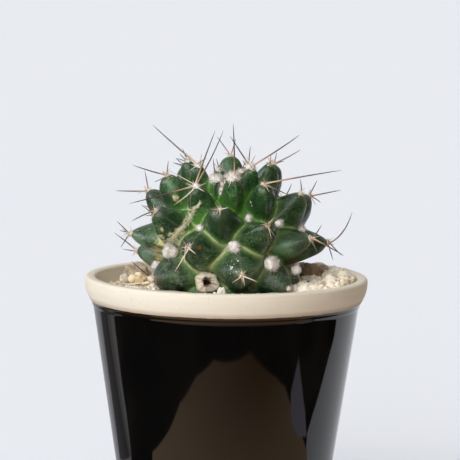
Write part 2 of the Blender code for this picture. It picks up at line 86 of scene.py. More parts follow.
def thrown(name, outline, steps, pole=POLE):
    """Pulls one ring through an outline of (radius, height) points and closes what meets."""
    radius, height = outline[0]
    bpy.ops.mesh.primitive_circle_add(vertices=steps, radius=radius, location=(0.0, 0.0, height))
    piece = bpy.context.object
    piece.name = name
    bpy.ops.object.transform_apply(location=True, rotation=True, scale=True)
    bpy.ops.object.mode_set(mode="EDIT")
    bpy.ops.mesh.select_all(action="SELECT")
    for next_radius, next_height in outline[1:]:
        lift = {"value": (0.0, 0.0, next_height - height)}
        bpy.ops.mesh.extrude_region_move(TRANSFORM_OT_translate=lift)
        grow = next_radius / radius
        bpy.ops.transform.resize(value=(grow, grow, 1.0), center_override=(0.0, 0.0, 0.0))
        radius, height = next_radius, next_height
    bpy.ops.mesh.select_all(action="SELECT")
    bpy.ops.mesh.remove_doubles(threshold=pole)
    bpy.ops.mesh.normals_make_consistent(inside=False)
    bpy.ops.object.mode_set(mode="OBJECT")
    bpy.ops.object.shade_smooth_by_angle(angle=math.radians(35.0))
    return piece


def arc(centre, radius, start, end, count):
    """Points on an arc of an outline; angles in degrees, 0 outwards and 90 up."""
    angles = [math.radians(start + (end - start) * index / count) for index in range(count + 1)]
    return [(centre[0] + radius * math.cos(a), centre[1] + radius * math.sin(a)) for a in angles]


def wall_radius(height):
    return BODY_TOP_RADIUS - WALL_SLOPE * (RIM_HEIGHT - BAND_HEIGHT - height)


def inner_radius(height):
    top = RIM_RADIUS - LIP_WIDTH
    return FLOOR_RADIUS + (top - FLOOR_RADIUS) * (height - FLOOR_TOP) / (RIM_HEIGHT - FLOOR_TOP)


foot = wall_radius(0.0)
ring_inner = foot - FOOT_ROUND - FOOT_RING_WIDTH
outline = [(DRAIN_RADIUS, FLOOR_TOP), (DRAIN_RADIUS, FOOT_RECESS), (ring_inner - FOOT_RECESS, FOOT_RECESS)]
outline += [(ring_inner, 0.0)] + arc((foot - FOOT_ROUND, FOOT_ROUND), FOOT_ROUND, -90, 0, 6)
for share in np.linspace(0.03, 1.0 - FILLET / BODY_TOP, 15):
    outline.append((wall_radius(BODY_TOP * share), BODY_TOP * share))
for share in (0.25, 0.5, 0.75, 1.0):
    height = BODY_TOP - FILLET * (1.0 - share)
    flare = wall_radius(height) + FILLET_FLARE * FILLET * share**2.5
    outline.append((min(flare, RIM_RADIUS - BAND_UNDERCUT), height))
bulge = BAND_HEIGHT - BAND_UPRIGHT
for share in np.linspace(1.0, 0.0, 14):
    height = RIM_HEIGHT - BAND_UPRIGHT - bulge * share
    outline.append((RIM_RADIUS - BAND_UNDERCUT * share**BAND_CURVE, height))
outline += arc((RIM_RADIUS - LIP_ROUND, RIM_HEIGHT - LIP_ROUND), LIP_ROUND, 0, 90, 7)
inner_edge = RIM_HEIGHT - LIP_ROUND
outline += arc((inner_radius(inner_edge) + LIP_ROUND, inner_edge), LIP_ROUND, 110, 180, 6)
for share in np.linspace(0.9, 0.0, 8):
    height = FLOOR_TOP + (inner_edge - FLOOR_TOP) * share
    outline.append((inner_radius(height), height))
outline.append((DRAIN_RADIUS, FLOOR_TOP))
pot = thrown("pot_clay", outline, POT_STEPS)


class Field:
    """A value that a material works out at each point; sums and products of it add nodes."""

    def __init__(self, tree, socket=None):
        self.tree = tree
        self.socket = socket

    def node(self, kind, settings, inputs, output=0):
        made = self.tree.nodes.new("ShaderNode" + kind)
        for key, value in settings.items():
            setattr(made, key, value)
        for key, value in inputs.items():
            if isinstance(value, Field):
                self.tree.links.new(value.socket, made.inputs[key])
            else:
                made.inputs[key].default_value = value
        return Field(self.tree, made.outputs[output])

    def ramp(self, *stops):
        """Colours along the value, as (place, colour) stops."""
        made = self.node("ValToRGB", {}, {"Fac": self})
        elements = made.socket.node.color_ramp.elements
        while len(elements) < len(stops):
            elements.new(0.5)
        for element, (place, colour) in zip(elements, stops):
            element.position = place
            element.color = (*colour, 1.0)
        return made

    def mark(self, name):
        """A number that the piece holds at each of its points."""
        return self.node("Attribute", {"attribute_name": name}, {}, 2)

    def axis(self, index):
        return self.node("SeparateXYZ", {}, {"Vector": self}, index)

    def maths(self, operation, first, second=0.0):
        return self.node("Math", {"operation": operation}, {0: first, 1: second})

    def __add__(self, other):
        return self.maths("ADD", self, other)

    def __sub__(self, other):
        return self.maths("SUBTRACT", self, other)

    def __rsub__(self, other):
        return self.maths("SUBTRACT", other, self)

    def __mul__(self, other):
        return self.maths("MULTIPLY", self, other)

    __radd__ = __add__
    __rmul__ = __mul__


def new_finish(name):
    """A material with its shader, and the field of its places in the piece."""
    finish = bpy.data.materials.new(name)
    finish.use_nodes = True
    return finish, Field(finish.node_tree).node("TexCoord", {}, {}, 3)


def coated(finish, **inputs):
    """Sets or links the shader's sockets; the names have _ for spaces."""
    shader = finish.node_tree.nodes["Principled BSDF"]
    for key, value in inputs.items():
        socket = shader.inputs[key.replace("_", " ")]
        if isinstance(value, Field):
            finish.node_tree.links.new(value.socket, socket)
        else:
            socket.default_value = value


def step(value, low, high):
    """0 below low and 1 above high, smooth between them; it falls where high is the lower."""
    inputs = {"Value": value, "From Min": low, "From Max": high}
    return value.node("MapRange", {"interpolation_type": "SMOOTHSTEP"}, inputs)


def blend(mask, colour, other):
    """One colour where the mask is 0 and the other where it is 1."""
    sides = [side if isinstance(side, Field) else (*side, 1.0) for side in (colour, other)]
    return mask.node("Mix", {"data_type": "RGBA"}, {0: mask, 6: sides[0], 7: sides[1]}, 2)


def grain(place, scale, detail=2.0, roughness=0.5):
    """Soft noise about 0.5, in cells of 1 over the scale, in metres."""
    inputs = {"Vector": place, "Scale": scale, "Detail": detail, "Roughness": roughness}
    return place.node("TexNoise", {}, inputs)


def relief(height, distance, strength=1.0):
    """The normal of a surface with this height on it, in metres."""
    return height.node("Bump", {}, {"Height": height, "Distance": distance, "Strength": strength})


def glazed_clay():
    """Bare cream clay with fine throwing lines, painted shade in brown just over the glaze's edge under the
    band, and gloss black glaze.
    """
    finish, place = new_finish("glazed_clay")
    outside = place.mark("outside")
    level = place.axis(2) + GLAZE_WANDER * (grain(place, 180.0, 3.0) - 0.5)
    glaze = step(level, GLAZE_TOP + 0.08 * MM, GLAZE_TOP - 0.08 * MM)
    glaze = glaze * step(level, 0.25 * MM, 0.4 * MM) * outside
    stretched = place.node("Mapping", {}, {"Vector": place, "Scale": (1.0, 1.0, 9.0)})
    clay = blend(grain(stretched, 120.0, 4.0), (0.68, 0.60, 0.475), (0.74, 0.665, 0.545))
    speckle = step(grain(place, 1500.0, 2.0), 0.64, 0.72)
    clay = blend(0.35 * speckle, clay, (0.50, 0.37, 0.25))
    # Painted shade: the clay is darkened to brown just over the glaze's edge, on the underside of the band.
    under_band_shade = step(level, GLAZE_TOP + 1.7 * MM, GLAZE_TOP + 0.1 * MM) * outside
    clay = blend(0.60 * under_band_shade, clay, (0.34, 0.20, 0.11))
    thin = step(level, GLAZE_TOP - 1.5 * MM, GLAZE_TOP)
    black = blend(thin, (0.0022, 0.0020, 0.0019), (0.020, 0.012, 0.007))
    waves = {"Vector": place, "Scale": 420.0, "Distortion": 2.0}
    rings = place.node("TexWave", {"bands_direction": "Z"}, waves)
    pits = (0.6 * grain(place, 2200.0, 2.0) + 0.4 * rings) * (1 - glaze)
    lumps = grain(place, 55.0, 1.0) * glaze
    coated(finish, Base_Color=blend(glaze, clay, black), Roughness=0.62 - 0.57 * glaze, IOR=1.5)
    coated(finish, Normal=relief(lumps * 2.0 + pits, 0.035 * MM, 0.8))
    return finish


def marked(piece, name, values):
    """Stores one number at each point of a piece, for its material."""
    attribute = piece.data.attributes.new(name, "FLOAT", "POINT")
    attribute.data.foreach_set("value", np.asarray(values, np.float32).ravel())


def points_of(piece):
    found = np.empty(len(piece.data.vertices) * 3, np.float32)
    piece.data.vertices.foreach_get("co", found)
    return found.reshape(-1, 3).astype(float)


def shaped(piece, points):
    piece.data.vertices.foreach_set("co", points.astype(np.float32).ravel())


def dressed(piece, finish, slot, *nodes):
    """Gives a piece its finish, sets it on the pot's body and lets it stand for solids."""
    piece.data.materials.clear()
    piece.data.materials.append(finish)
    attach(piece, "root")
    if nodes:
        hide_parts(*nodes)


spots = points_of(pot)
reach = np.hypot(spots[:, 0], spots[:, 1])
marked(pot, "outside", reach > np.minimum(wall_radius(spots[:, 2]), RIM_RADIUS) - OUTSIDE_DEPTH)
dressed(pot, glazed_clay(), "pot", "pot")

# Soil. Pale mineral grit that fills the pot to just under the lip, with a hole for the plant.
# The bed is thrown like the pot and roughened; loose grains of pumice, quartz and clay lie on it.
GAP = 0.3 * MM
SOIL_LEVEL = RIM_HEIGHT - 2.6 * MM
SOIL_RISE_RIGHT = 2.4 * MM
SOIL_RISE_FRONT = -0.2 * MM
SOIL_SIDE_DEPTH = 6.0 * MM
GRAIN_SIZE = 3.2 * MM
GRAIN_HEIGHT = 1.0 * MM
FINE_HEIGHT = 0.25 * MM
FINE_SIZE = 0.9 * MM
SEAT_LEVEL = RIM_HEIGHT - 2.8 * MM
SEAT_RADIUS = 19.0 * MM
SEAT_DEPTH = 12.0 * MM
SEAT_BOTTOM_RADIUS = 13.0 * MM
SEAT_FLAT_END, SEAT_BANK = 28.0 * MM, 3.0 * MM
SOIL_STEPS = 150
SOIL_ROWS = 34
GRIT_SEED = 11
GRIT_TRIES = 4300
GRIT_REACH = 15.5, 37.0
GRIT_SIDE = 0.5 * MM, 2.0 * MM
SMALL_GRAIN = 0.8 * MM
# The grit is coarser at the right, finer at the front and the left.
COARSE_FROM, COARSER = 17.0 * MM, 1.4
FINE_FRONT, FINE_LEFT, FINE_SIDE = -16.0 * MM, -17.0 * MM, 0.6 * MM
SINK, FRONT_SINK = (-0.1, 0.55), 0.45
STONE_MARGIN, LIP_MARGIN = 0.4, 0.4 * MM
# Single larger grains, as (x, y, height over the lip, size, tint), in millimetres.
LARGE_GRAINS = (
    (-26.4, -2.6, -0.9, 1.7, 0.86), (-24.8, -1.0, -0.2, 1.4, 0.86), (22.3, 13.6, 0.6, 1.9, 0.985),
    (27.8, 13.4, 0.4, 1.8, 0.985), (17.0, -25.5, -2.2, 1.1, 0.2), (22.6, -21.5, -1.7, 1.3, 0.5),
    (4.2, -30.2, -1.5, 0.7, 0.66), (8.8, -29.6, -1.5, 0.8, 0.3), (-3.0, -30.4, -1.4, 0.9, 0.2),
)
LARGE_SIDES = Vector((1.1, 0.95, 0.85))
# Under the front of the plant, between these sides, no grain stands above this slope.
DIP_FRONT, DIP_LEFT, DIP_RIGHT = -10.0 * MM, -22.0 * MM, 20.0 * MM
DIP_LEVEL = RIM_HEIGHT - 4.7 * MM
DIP_SLOPE = 0.13
GRIT_TINTS = (
    (0.0, (0.88, 0.80, 0.66)), (0.42, (0.84, 0.74, 0.58)), (0.66, (0.90, 0.85, 0.75)),
    (0.86, (0.82, 0.68, 0.46)), (0.95, (0.68, 0.52, 0.33)), (0.985, (0.32, 0.22, 0.15)),
)


def seat_outline(clearance):
    """The hole for the plant, from its bottom up."""
    bottom = SEAT_LEVEL - SEAT_DEPTH + clearance
    waist = 0.5 * (SEAT_BOTTOM_RADIUS + SEAT_RADIUS) + 1.5 * MM - clearance
    return [
        (POLE * 0.5, bottom),
        (SEAT_BOTTOM_RADIUS - clearance, bottom),
        (waist, bottom + 0.28 * SEAT_DEPTH),
        (SEAT_RADIUS - clearance, bottom + 0.7 * SEAT_DEPTH),
        (SEAT_RADIUS - clearance, SEAT_LEVEL),
    ]


def between(first, last, share):
    return first + (last - first) * min(1.0, max(0.0, share))


def soil_height(x, y):
    """Height of the soil: a slope up to the right and front, with rounded grains on it."""
    slope = SOIL_RISE_RIGHT * x / RIM_RADIUS - SOIL_RISE_FRONT * y / RIM_RADIUS
    near = noise.voronoi(Vector((x, y, 0.0)) / GRAIN_SIZE)[0]
    lumps = GRAIN_HEIGHT * (0.5 - near[0])
    return between(SEAT_LEVEL, SOIL_LEVEL + slope + lumps, (math.hypot(x, y) - SEAT_FLAT_END) / SEAT_BANK)


outline = seat_outline(0.0)
edge = inner_radius(SOIL_LEVEL) - GAP
for share in np.linspace(0.0, 1.0, SOIL_ROWS)[1:]:
    outline.append((SEAT_RADIUS + (edge - SEAT_RADIUS) * share, SEAT_LEVEL))
side_top = RIM_HEIGHT - SOIL_SIDE_DEPTH
outline += [(inner_radius(side_top) - GAP, side_top), (FLOOR_RADIUS - GAP, FLOOR_TOP + GAP)]
outline.append((POLE * 0.5, FLOOR_TOP + GAP))
soil = thrown("soil_bed", outline, SOIL_STEPS)
for vertex in soil.data.vertices:
    x, y, z = vertex.co
    reach = math.hypot(x, y)
    if abs(z - SEAT_LEVEL) > 0.01 * MM or reach < SEAT_RADIUS + 0.1 * MM:
        continue
    fine = FINE_HEIGHT * noise.noise(vertex.co / FINE_SIZE)
    height = soil_height(x, y) + fine * min(1.0, (reach - SEAT_RADIUS) / (4.0 * MM))
    inward = min(1.0, (inner_radius(height) - GAP) / reach)
    vertex.co = (x * inward, y * inward, height)


def grown(name, model, points, marks):
    """One mesh of many copies of a model: points holds each copy's own points, marks its values."""
    copies, size = points.shape[:2]
    faces = [face.vertices[:] for face in model.data.polygons]
    faces = [[copy * size + corner for corner in face] for copy in range(copies) for face in faces]
    mesh = bpy.data.meshes.new(name)
    mesh.from_pydata(points.reshape(-1, 3), [], faces)
    mesh.shade_smooth()
    piece = bpy.data.objects.new(name, mesh)
    bpy.context.scene.collection.objects.link(piece)
    for mark, values in marks.items():
        marked(piece, mark, np.broadcast_to(np.reshape(values, (copies, -1)), (copies, size)))
    bpy.data.objects.remove(model)
    return piece


def worn(name, subdivisions, seed, roughness):
    """A pebble of radius 1: a ball with its points pushed in and out, and corners left on it."""
    bpy.ops.mesh.primitive_ico_sphere_add(subdivisions=subdivisions, radius=1.0)
    pebble = bpy.context.object
    pebble.name = name
    for vertex in pebble.data.vertices:
        place = vertex.co.normalized()
        swell = 1.0 + roughness * noise.noise(1.6 * place + Vector((seed, 0.0, 0.0)))
        cell = noise.voronoi(1.3 * place + Vector((0.0, seed, 0.0)))[0]
        vertex.co = place * swell * (1.0 - 0.5 * roughness * cell[0])
    return pebble


draw = random.Random(GRIT_SEED)
kinds = [worn("grain_%d" % seed, 1 if seed < 4 else 2, 3.7 * seed, 0.5) for seed in range(7)]
grains = {kind: [] for kind in kinds}
tints = {kind: [] for kind in kinds}


def laid(kind, shape, place, tint):
    """Lays a copy of a model grain in its place."""
    grains[kind].append(points_of(kind) @ np.array(shape).T + np.array(place))
    tints[kind].append(tint)


stones = [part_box(name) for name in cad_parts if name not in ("pot", "soil", "plant")]
for _ in range(GRIT_TRIES):
    reach = math.sqrt(draw.uniform(GRIT_REACH[0] ** 2, GRIT_REACH[1] ** 2)) * MM
    angle = draw.uniform(0.0, 2.0 * math.pi)
    x, y = reach * math.cos(angle), reach * math.sin(angle)
    size = GRIT_SIDE[0] + (GRIT_SIDE[1] - GRIT_SIDE[0]) * draw.random() ** 2.2
    if x > COARSE_FROM:
        size = min(COARSER * size, GRIT_SIDE[1])
    if y < FINE_FRONT or x < FINE_LEFT:
        size = min(size, FINE_SIDE)
    about_z, about_x = (Matrix.Rotation(draw.uniform(0.0, 6.28), 3, axis) for axis in "ZX")
    sides = Vector((draw.uniform(0.7, 1.3), draw.uniform(0.7, 1.1), draw.uniform(0.5, 0.9)))
    tint = draw.random()
    sink = draw.uniform(*SINK) - (FRONT_SINK if y < FINE_FRONT else 0.0)
    kind = kinds[draw.randrange(4)] if size < SMALL_GRAIN else kinds[4 + draw.randrange(3)]
    near = STONE_MARGIN * size
    hidden = any(
        low.x - near < x < high.x + near and low.y - near < y < high.y + near for low, high in stones
    )
    place = Vector((x, y, soil_height(x, y) + sink * size))
    under = y < DIP_FRONT and DIP_LEFT < x < DIP_RIGHT and place.z + size > DIP_LEVEL - DIP_SLOPE * y
    if not (hidden or under or reach + size > inner_radius(RIM_HEIGHT) - LIP_MARGIN):
        laid(kind, about_z @ about_x @ Matrix.Diagonal(sides * size), place, tint)
for index, (x, y, over, size, tint) in enumerate(LARGE_GRAINS):
    shape = Matrix.Rotation(2.1 * index, 3, "Z") @ Matrix.Diagonal(LARGE_SIDES * size * MM)
    laid(kinds[4 + index % 3], shape, MM * Vector((x, y, over)) + Vector((0.0, 0.0, RIM_HEIGHT)), tint)


def joined(name, pieces):
    """Joins pieces into the first and names it."""
    bpy.ops.object.select_all(action="DESELECT")
    for piece in pieces:
        piece.select_set(True)
    bpy.context.view_layer.objects.active = pieces[0]
    bpy.ops.object.join()
    pieces[0].name = name
    return pieces[0]


layers = [grown("grit", kind, np.array(grains[kind]), {"tint": tints[kind]}) for kind in kinds]
grit = joined("soil_grit", layers)


def mineral(name, bed=False):
    """Dull stone: a tint for each grain, or for each cell of the bed, mottled, with pores."""
    finish, place = new_finish(name)
    if bed:
        tint = place.node("TexVoronoi", {}, {"Vector": place, "Scale": 620.0}, 1)
        tint = tint.node("SeparateColor", {}, {"Color": tint})
    else:
        tint = place.mark("tint")
    colour = tint.ramp(*GRIT_TINTS)
    mottle = grain(place, 900.0, 4.0)
    colour = blend(0.45 * step(mottle, 0.35, 0.7), colour, (0.80, 0.72, 0.60))
    dirt = step(grain(place, 420.0, 3.0), 0.58, 0.78)
    colour = blend(0.15 * dirt, colour, (0.38, 0.27, 0.16))
    pores = grain(place, 2600.0, 3.0, 0.6)
    coated(finish, Base_Color=colour, Roughness=0.92, Normal=relief(pores, 0.12 * MM, 0.9))
    return finish


dressed(soil, mineral("soil_bed", bed=True), "soil", "soil")
dressed(grit, mineral("grit"), "soil")

# Stones. Worn pebbles and lumps of pumice that lie in the soil: each is a ball pushed into
# shape where its solid lies, with its own colour.
STONE_COLOURS = {
    "stone_white": (0.60, 0.52, 0.39), "stone_ochre": (0.74, 0.52, 0.28),
    "stone_grey": (0.46, 0.36, 0.25), "stone_brown": (0.36, 0.25, 0.15),
    "pumice_large": (0.78, 0.70, 0.58), "pumice_small": (0.75, 0.67, 0.55),
    "pumice_chip": (0.76, 0.68, 0.56), "grain_front": (0.84, 0.79, 0.69),
    "stone_back_left": (0.62, 0.52, 0.38), "stone_back": (0.72, 0.64, 0.52),
    "stone_back_right": (0.46, 0.33, 0.20),
}


def pebble_finish(name, colour, porous):
    """Matt stone mottled dark and pale; pumice has open cells."""
    finish, place = new_finish(name + "_rock")
    mottle = grain(place, 520.0, 5.0, 0.6)
    pale = tuple(min(0.9, 1.25 * part + 0.03) for part in colour)
    dark = tuple(0.62 * part for part in colour)
    body = blend(step(mottle, 0.3, 0.7), dark, colour)
    body = blend(step(grain(place, 1300.0, 3.0), 0.5, 0.75), body, pale)
    if porous:
        cells = {"Vector": place, "Scale": 1400.0}
        pits = step(place.node("TexVoronoi", {"feature": "DISTANCE_TO_EDGE"}, cells), 0.0, 0.18)
    else:
        pits = grain(place, 1800.0, 3.0)
    coated(finish, Base_Color=body, Roughness=0.88, Normal=relief(pits, 0.15 * MM, 0.8))
    return finish


for seed, (node, colour) in enumerate(STONE_COLOURS.items()):
    low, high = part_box(node)
    stone = worn(node + "_pebble", 5, 2.3 * seed + 1.0, 0.35)
    spots = points_of(stone)
    spots = (spots - spots.min(0)) / (spots.max(0) - spots.min(0))
    shaped(stone, np.array(low) + spots * np.array(high - low))
    stone.data.shade_smooth()
    dressed(stone, pebble_finish(node, colour, node.startswith("pumice")), node, node)

# Plant. One flattened globe of four-angled tubercles on a golden-angle spiral, number 0 at the
# apex. Each tubercle is drawn by a formula; they are fused with the core and the stem base and
# worn smooth, so that the skin is one surface with a groove where two tubercles meet.
PLANT_CENTRE = Vector((0.15 * MM, 3.4 * MM, RIM_HEIGHT + 9.9 * MM))
LEAN_FRONT = math.radians(16.9)
LEAN_LEFT = math.radians(1.7)
CORE_RADIUS = 17.0 * MM
CORE_HEIGHT = 15.0 * MM
STEM_RADIUS = 15.0 * MM
STEM_TOP = SEAT_LEVEL + 0.6 * MM
TUBERCLES = 47
GOLDEN_ANGLE = math.radians(137.508)
FIRST_AZIMUTH = math.radians(-51.1)
SPREAD_ANGLE = math.radians(69.7)
SPREAD_NUMBER = 26.0
SPREAD_POWER = 1.24
HEAD_RADIUS = 28.3 * MM
HEAD_HEIGHT = 24.4 * MM
HEAD_SQUARENESS = 1.86
YOUNG_CROWD = 0.78
CROWD_NUMBER = 8.0
APEX_NUMBER = 5
APEX_DIP = 5.2 * MM
TUBERCLE_LENGTH = 13.0 * MM
YOUNG_LENGTH_SHARE = 0.7
LENGTH_NUMBER = 10.0
POINTING_SHARE = 0.55
POINTING_GROWTH = 0.4
YOUNG_ROOT = 2.6 * MM
OLD_ROOT = 8.7 * MM
OLD_NUMBER = 28.0
TUBERCLE_BEND = math.radians(12.0)
STRAIGHT_NUMBER, STRAIGHTENING = 36.0, 6.0
LOWEST_POINTING = math.radians(96.0)
YOUNG_BLUNTNESS = 0.33
OLD_BLUNTNESS = 0.6
BLUNT_FROM, BLUNT_TO = 16.0, 28.0
SECTION_SIDE = 1.05
SECTION_UPPER = 0.74
SECTION_LOWER = 1.22
ROOT_SQUARENESS = 0.70
MODEL_SIDES = 28
MODEL_RINGS = 24
RING_CROWD = 1.8
CORE_SIDES = 48, 32
STEM_SIDES = 48
SKIN_GRID = 0.41 * MM
SKIN_SWELL = 0.14 * MM
MARK_REACH, GROOVE_REACH = 4.0 * MM, 6.0 * MM
SWELL_SIZE, SMALL_SWELL_SIZE = 4.2 * MM, 1.5 * MM
# Places, in millimetres, where a tubercle stands off the even spiral.
OFF_SPIRAL = {
    5: (-1.6, 0.0, -3.5), 6: (0.0, 0.0, -4.4), 7: (1.0, 0.0, -0.5), 8: (-0.4, 0.0, 0.6),
    9: (0.0, 0.0, -5.2), 10: (-0.3, 0.0, 0.8), 11: (-1.4, 0.0, -0.3), 12: (0.0, 0.0, 0.4),
    14: (2.2, 0.0, -0.7), 15: (-0.9, 0.0, 1.7), 16: (0.3, 0.0, 0.8), 18: (0.3, 0.0, 0.3),
    21: (-0.6, 0.0, 0.0), 23: (0.5, 0.0, 1.2), 24: (0.6, 0.0, 0.8), 25: (0.0, 0.0, -0.5),
    26: (1.0, 0.0, -0.1), 28: (0.0, 0.0, 0.3), 29: (0.0, 0.0, 0.3), 31: (0.9, 0.0, -0.2),
    33: (0.4, 0.0, -0.2), 34: (0.0, 0.0, -0.5), 37: (0.3, 0.0, 2.5), 41: (-1.6, -4.0, 4.0),
}
# Shares by which a tubercle is broader, higher above its axis and deeper below it.
BUILD = {
    7: (0.92, 1.0, 1.0), 8: (0.85, 1.0, 1.0), 10: (0.86, 1.0, 1.0), 11: (0.72, 1.0, 1.0),
    12: (0.76, 1.0, 1.0), 13: (0.95, 1.0, 1.0), 15: (0.80, 1.0, 1.0), 16: (0.82, 1.0, 0.95),
    20: (0.86, 0.95, 1.0), 21: (0.86, 0.95, 0.95), 23: (0.98, 0.62, 0.88), 24: (0.82, 0.9, 0.9),
    26: (0.98, 1.0, 0.85), 28: (0.95, 0.62, 0.72), 29: (0.95, 0.9, 0.62), 33: (0.9, 0.85, 0.8),
    36: (0.86, 1.0, 1.0),
}
# Degrees by which a tubercle points aside of its azimuth and up from its pointing angle.
TURNED = {15: (-35.0, 0.0), 34: (0.0, 7.3), 36: (0.0, 3.3)}
# Places and radii, in millimetres, of corky skin, a rusty spot, chalky scratches and painted sheen.
PATCHES = {
    "cork": (
        (-18.0, -11.6, 92.4, 1.0), (-18.2, -10.0, 90.0, 1.5), (-18.2, -7.4, 87.6, 2.4),
        (-19.0, -4.4, 85.2, 3.8), (-20.0, 1.0, 82.7, 3.4), (-14.8, -10.8, 90.0, 2.4),
        (-13.3, -11.5, 91.8, 2.2), (-11.9, -11.2, 93.5, 1.8), (-10.4, -10.6, 95.4, 1.5),
        (-9.2, -12.8, 97.6, 1.0), (-14.4, -4.0, 100.4, 1.5),
    ),
    "rust": ((-7.4, -21.0, 88.4, 1.1), (17.7, 0.5, 82.6, 3.0), (20.0, 3.1, 82.1, 2.6)),
    "chalk": (
        (6.6, -10.1, 100.0, 0.7), (6.9, -10.3, 99.1, 0.6), (1.5, -21.6, 83.0, 0.8),
        (3.1, -20.5, 84.8, 0.7), (2.7, -20.9, 84.1, 0.5),
    ),
    # Painted sheen: lighter patches where the skin would catch a soft sheen.
    "painted_sheen": (
        (-24.0, 2.5, 82.3, 5.0), (-21.8, -3.0, 98.0, 4.6), (-15.5, -6.0, 103.0, 4.2),
        (-25.5, -4.0, 87.5, 4.0), (15.5, -13.0, 87.0, 4.0), (-15.0, -17.5, 80.0, 4.4),
        (-1.0, -7.0, 109.0, 3.2),
    ),
}

lean = Matrix.Rotation(-LEAN_LEFT, 4, "Y") @ Matrix.Rotation(LEAN_FRONT, 4, "X")
plant_frame = Matrix.Translation(PLANT_CENTRE) @ lean
plant_turn = np.array(plant_frame.to_3x3())


def tubercle_place(number):
    """Azimuth, polar angle and areole of a tubercle, in the plant's own frame."""
    azimuth = FIRST_AZIMUTH - GOLDEN_ANGLE * number
    polar = SPREAD_ANGLE * (number / SPREAD_NUMBER) ** SPREAD_POWER
    across, along = math.sin(polar), math.cos(polar)
    power = HEAD_SQUARENESS
    square = (abs(across) ** power + abs(along) ** power) ** (-1.0 / power)
    reach = HEAD_RADIUS * square * across * between(YOUNG_CROWD, 1.0, number / CROWD_NUMBER)
    tip = Vector((reach * math.sin(azimuth), -reach * math.cos(azimuth), HEAD_HEIGHT * square * along))
    if number < APEX_NUMBER:
        tip.z -= APEX_DIP
    return azimuth, polar, tip + MM * Vector(OFF_SPIRAL.get(number, (0.0, 0.0, 0.0)))


def tubercle(number):
    """The shape of a tubercle: its axis, bend, length, root radius and four-angled section."""
    azimuth, polar, tip = tubercle_place(number)
    aside, raised = TURNED.get(number, (0.0, 0.0))
    azimuth += math.radians(aside)
    pointing = polar * (POINTING_SHARE + POINTING_GROWTH * polar / (0.5 * math.pi))
    broad, high, deep = BUILD.get(number, (1.0, 1.0, 1.0))
    return SimpleNamespace(
        azimuth=azimuth,
        side=np.array([math.cos(azimuth), math.sin(azimuth), 0.0]),
        pointing=min(LOWEST_POINTING, pointing) - math.radians(raised),
        bend=between(0.0, TUBERCLE_BEND, (STRAIGHT_NUMBER - number) / STRAIGHTENING),
        tip=np.array(tip),
        length=TUBERCLE_LENGTH * between(YOUNG_LENGTH_SHARE, 1.0, number / LENGTH_NUMBER),
        root=YOUNG_ROOT + (OLD_ROOT - YOUNG_ROOT) * min(1.0, number / OLD_NUMBER) ** 1.1,
        blunt=between(YOUNG_BLUNTNESS, OLD_BLUNTNESS, (number - BLUNT_FROM) / (BLUNT_TO - BLUNT_FROM)),
        broad=SECTION_SIDE * broad,
        high=SECTION_UPPER * high,
        deep=SECTION_LOWER * deep,
    )


def directions(azimuth, polar):
    """Unit vectors at an azimuth and one or many polar angles, one a row."""
    polar = np.atleast_1d(polar)
    level = np.sin(polar)
    return np.stack([level * math.sin(azimuth), -level * math.cos(azimuth), np.cos(polar)], axis=1)


def axis_at(shape, shares):
    """Directions of a tubercle's axis at shares of its length from the tip."""
    return directions(shape.azimuth, shape.pointing + shape.bend * shares)


def squareness(shares):
    """The power of the section's curve: 2 is round, less is four-angled."""
    return 2.0 - ROOT_SQUARENESS * shares**0.7


def tubercle_points(shape, shares, turns):
    """Points of a tubercle's skin at shares of its length and turns round it, in its plant's frame."""
    axis = axis_at(shape, shares)
    power = squareness(shares)
    square = (np.abs(np.cos(turns)) ** power + np.abs(np.sin(turns)) ** power) ** (-1.0 / power)
    radius = shape.root * np.maximum(shares, 0.0) ** shape.blunt * square
    height = np.where(np.sin(turns) > 0.0, shape.high, shape.deep)
    centre = shape.tip - axis * (shape.length * shares)[:, None]
    across = (shape.broad * radius * np.cos(turns))[:, None] * shape.side
    return centre + across + (height * radius * np.sin(turns))[:, None] * np.cross(axis, shape.side)


def in_world(points):
    return points @ plant_turn.T + np.array(plant_frame.translation)


bpy.ops.mesh.primitive_uv_sphere_add(segments=MODEL_SIDES, ring_count=MODEL_RINGS, radius=1.0)
model = bpy.context.object
unit = points_of(model)
falls = np.arccos(np.clip(unit[:, 2], -1.0, 1.0)) / math.pi
shares = np.minimum(1.0, falls * MODEL_RINGS / (MODEL_RINGS - 1.0)) ** RING_CROWD
turns = np.arctan2(unit[:, 1], unit[:, 0])
closing = falls > 0.999
bodies = []
for number in range(TUBERCLES):
    shape = tubercle(number)
    body = tubercle_points(shape, shares, turns)
    body[closing] = shape.tip - axis_at(shape, 1.0)[0] * shape.length
    bodies.append(in_world(body))
tubercles = grown("plant_skin", model, np.array(bodies), {})

bpy.ops.mesh.primitive_uv_sphere_add(segments=CORE_SIDES[0], ring_count=CORE_SIDES[1], radius=CORE_RADIUS)
core = bpy.context.object
shaped(core, in_world(points_of(core) * (1.0, 1.0, CORE_HEIGHT / CORE_RADIUS)))
stem_outline = seat_outline(2.0 * GAP)[:3] + [(STEM_RADIUS, STEM_TOP), (POLE * 0.5, STEM_TOP)]
skin = joined("plant_skin", [tubercles, core, thrown("stem_base", stem_outline, STEM_SIDES)])
remesh = skin.modifiers.new("Fuse", "REMESH")
remesh.mode = "VOXEL"
remesh.voxel_size = SKIN_GRID
soften = skin.modifiers.new("Soften", "SMOOTH")
soften.factor = 0.5
soften.iterations = 3
for modifier in ("Fuse", "Soften"):
    bpy.ops.object.modifier_apply(modifier=modifier)
skin.data.shade_smooth()


def patched(points, places):
    """1 in the middle of the nearest patch, 0 from its edge on."""
    value = np.zeros(len(points))
    for x, y, z, radius in places:
        apart = np.linalg.norm(points / MM - (x, y, z), axis=1)
        value = np.maximum(value, 1.0 - apart / radius)
    return value


def rows_dot(first, second):
    return np.einsum("ij,ij->i", first, second)


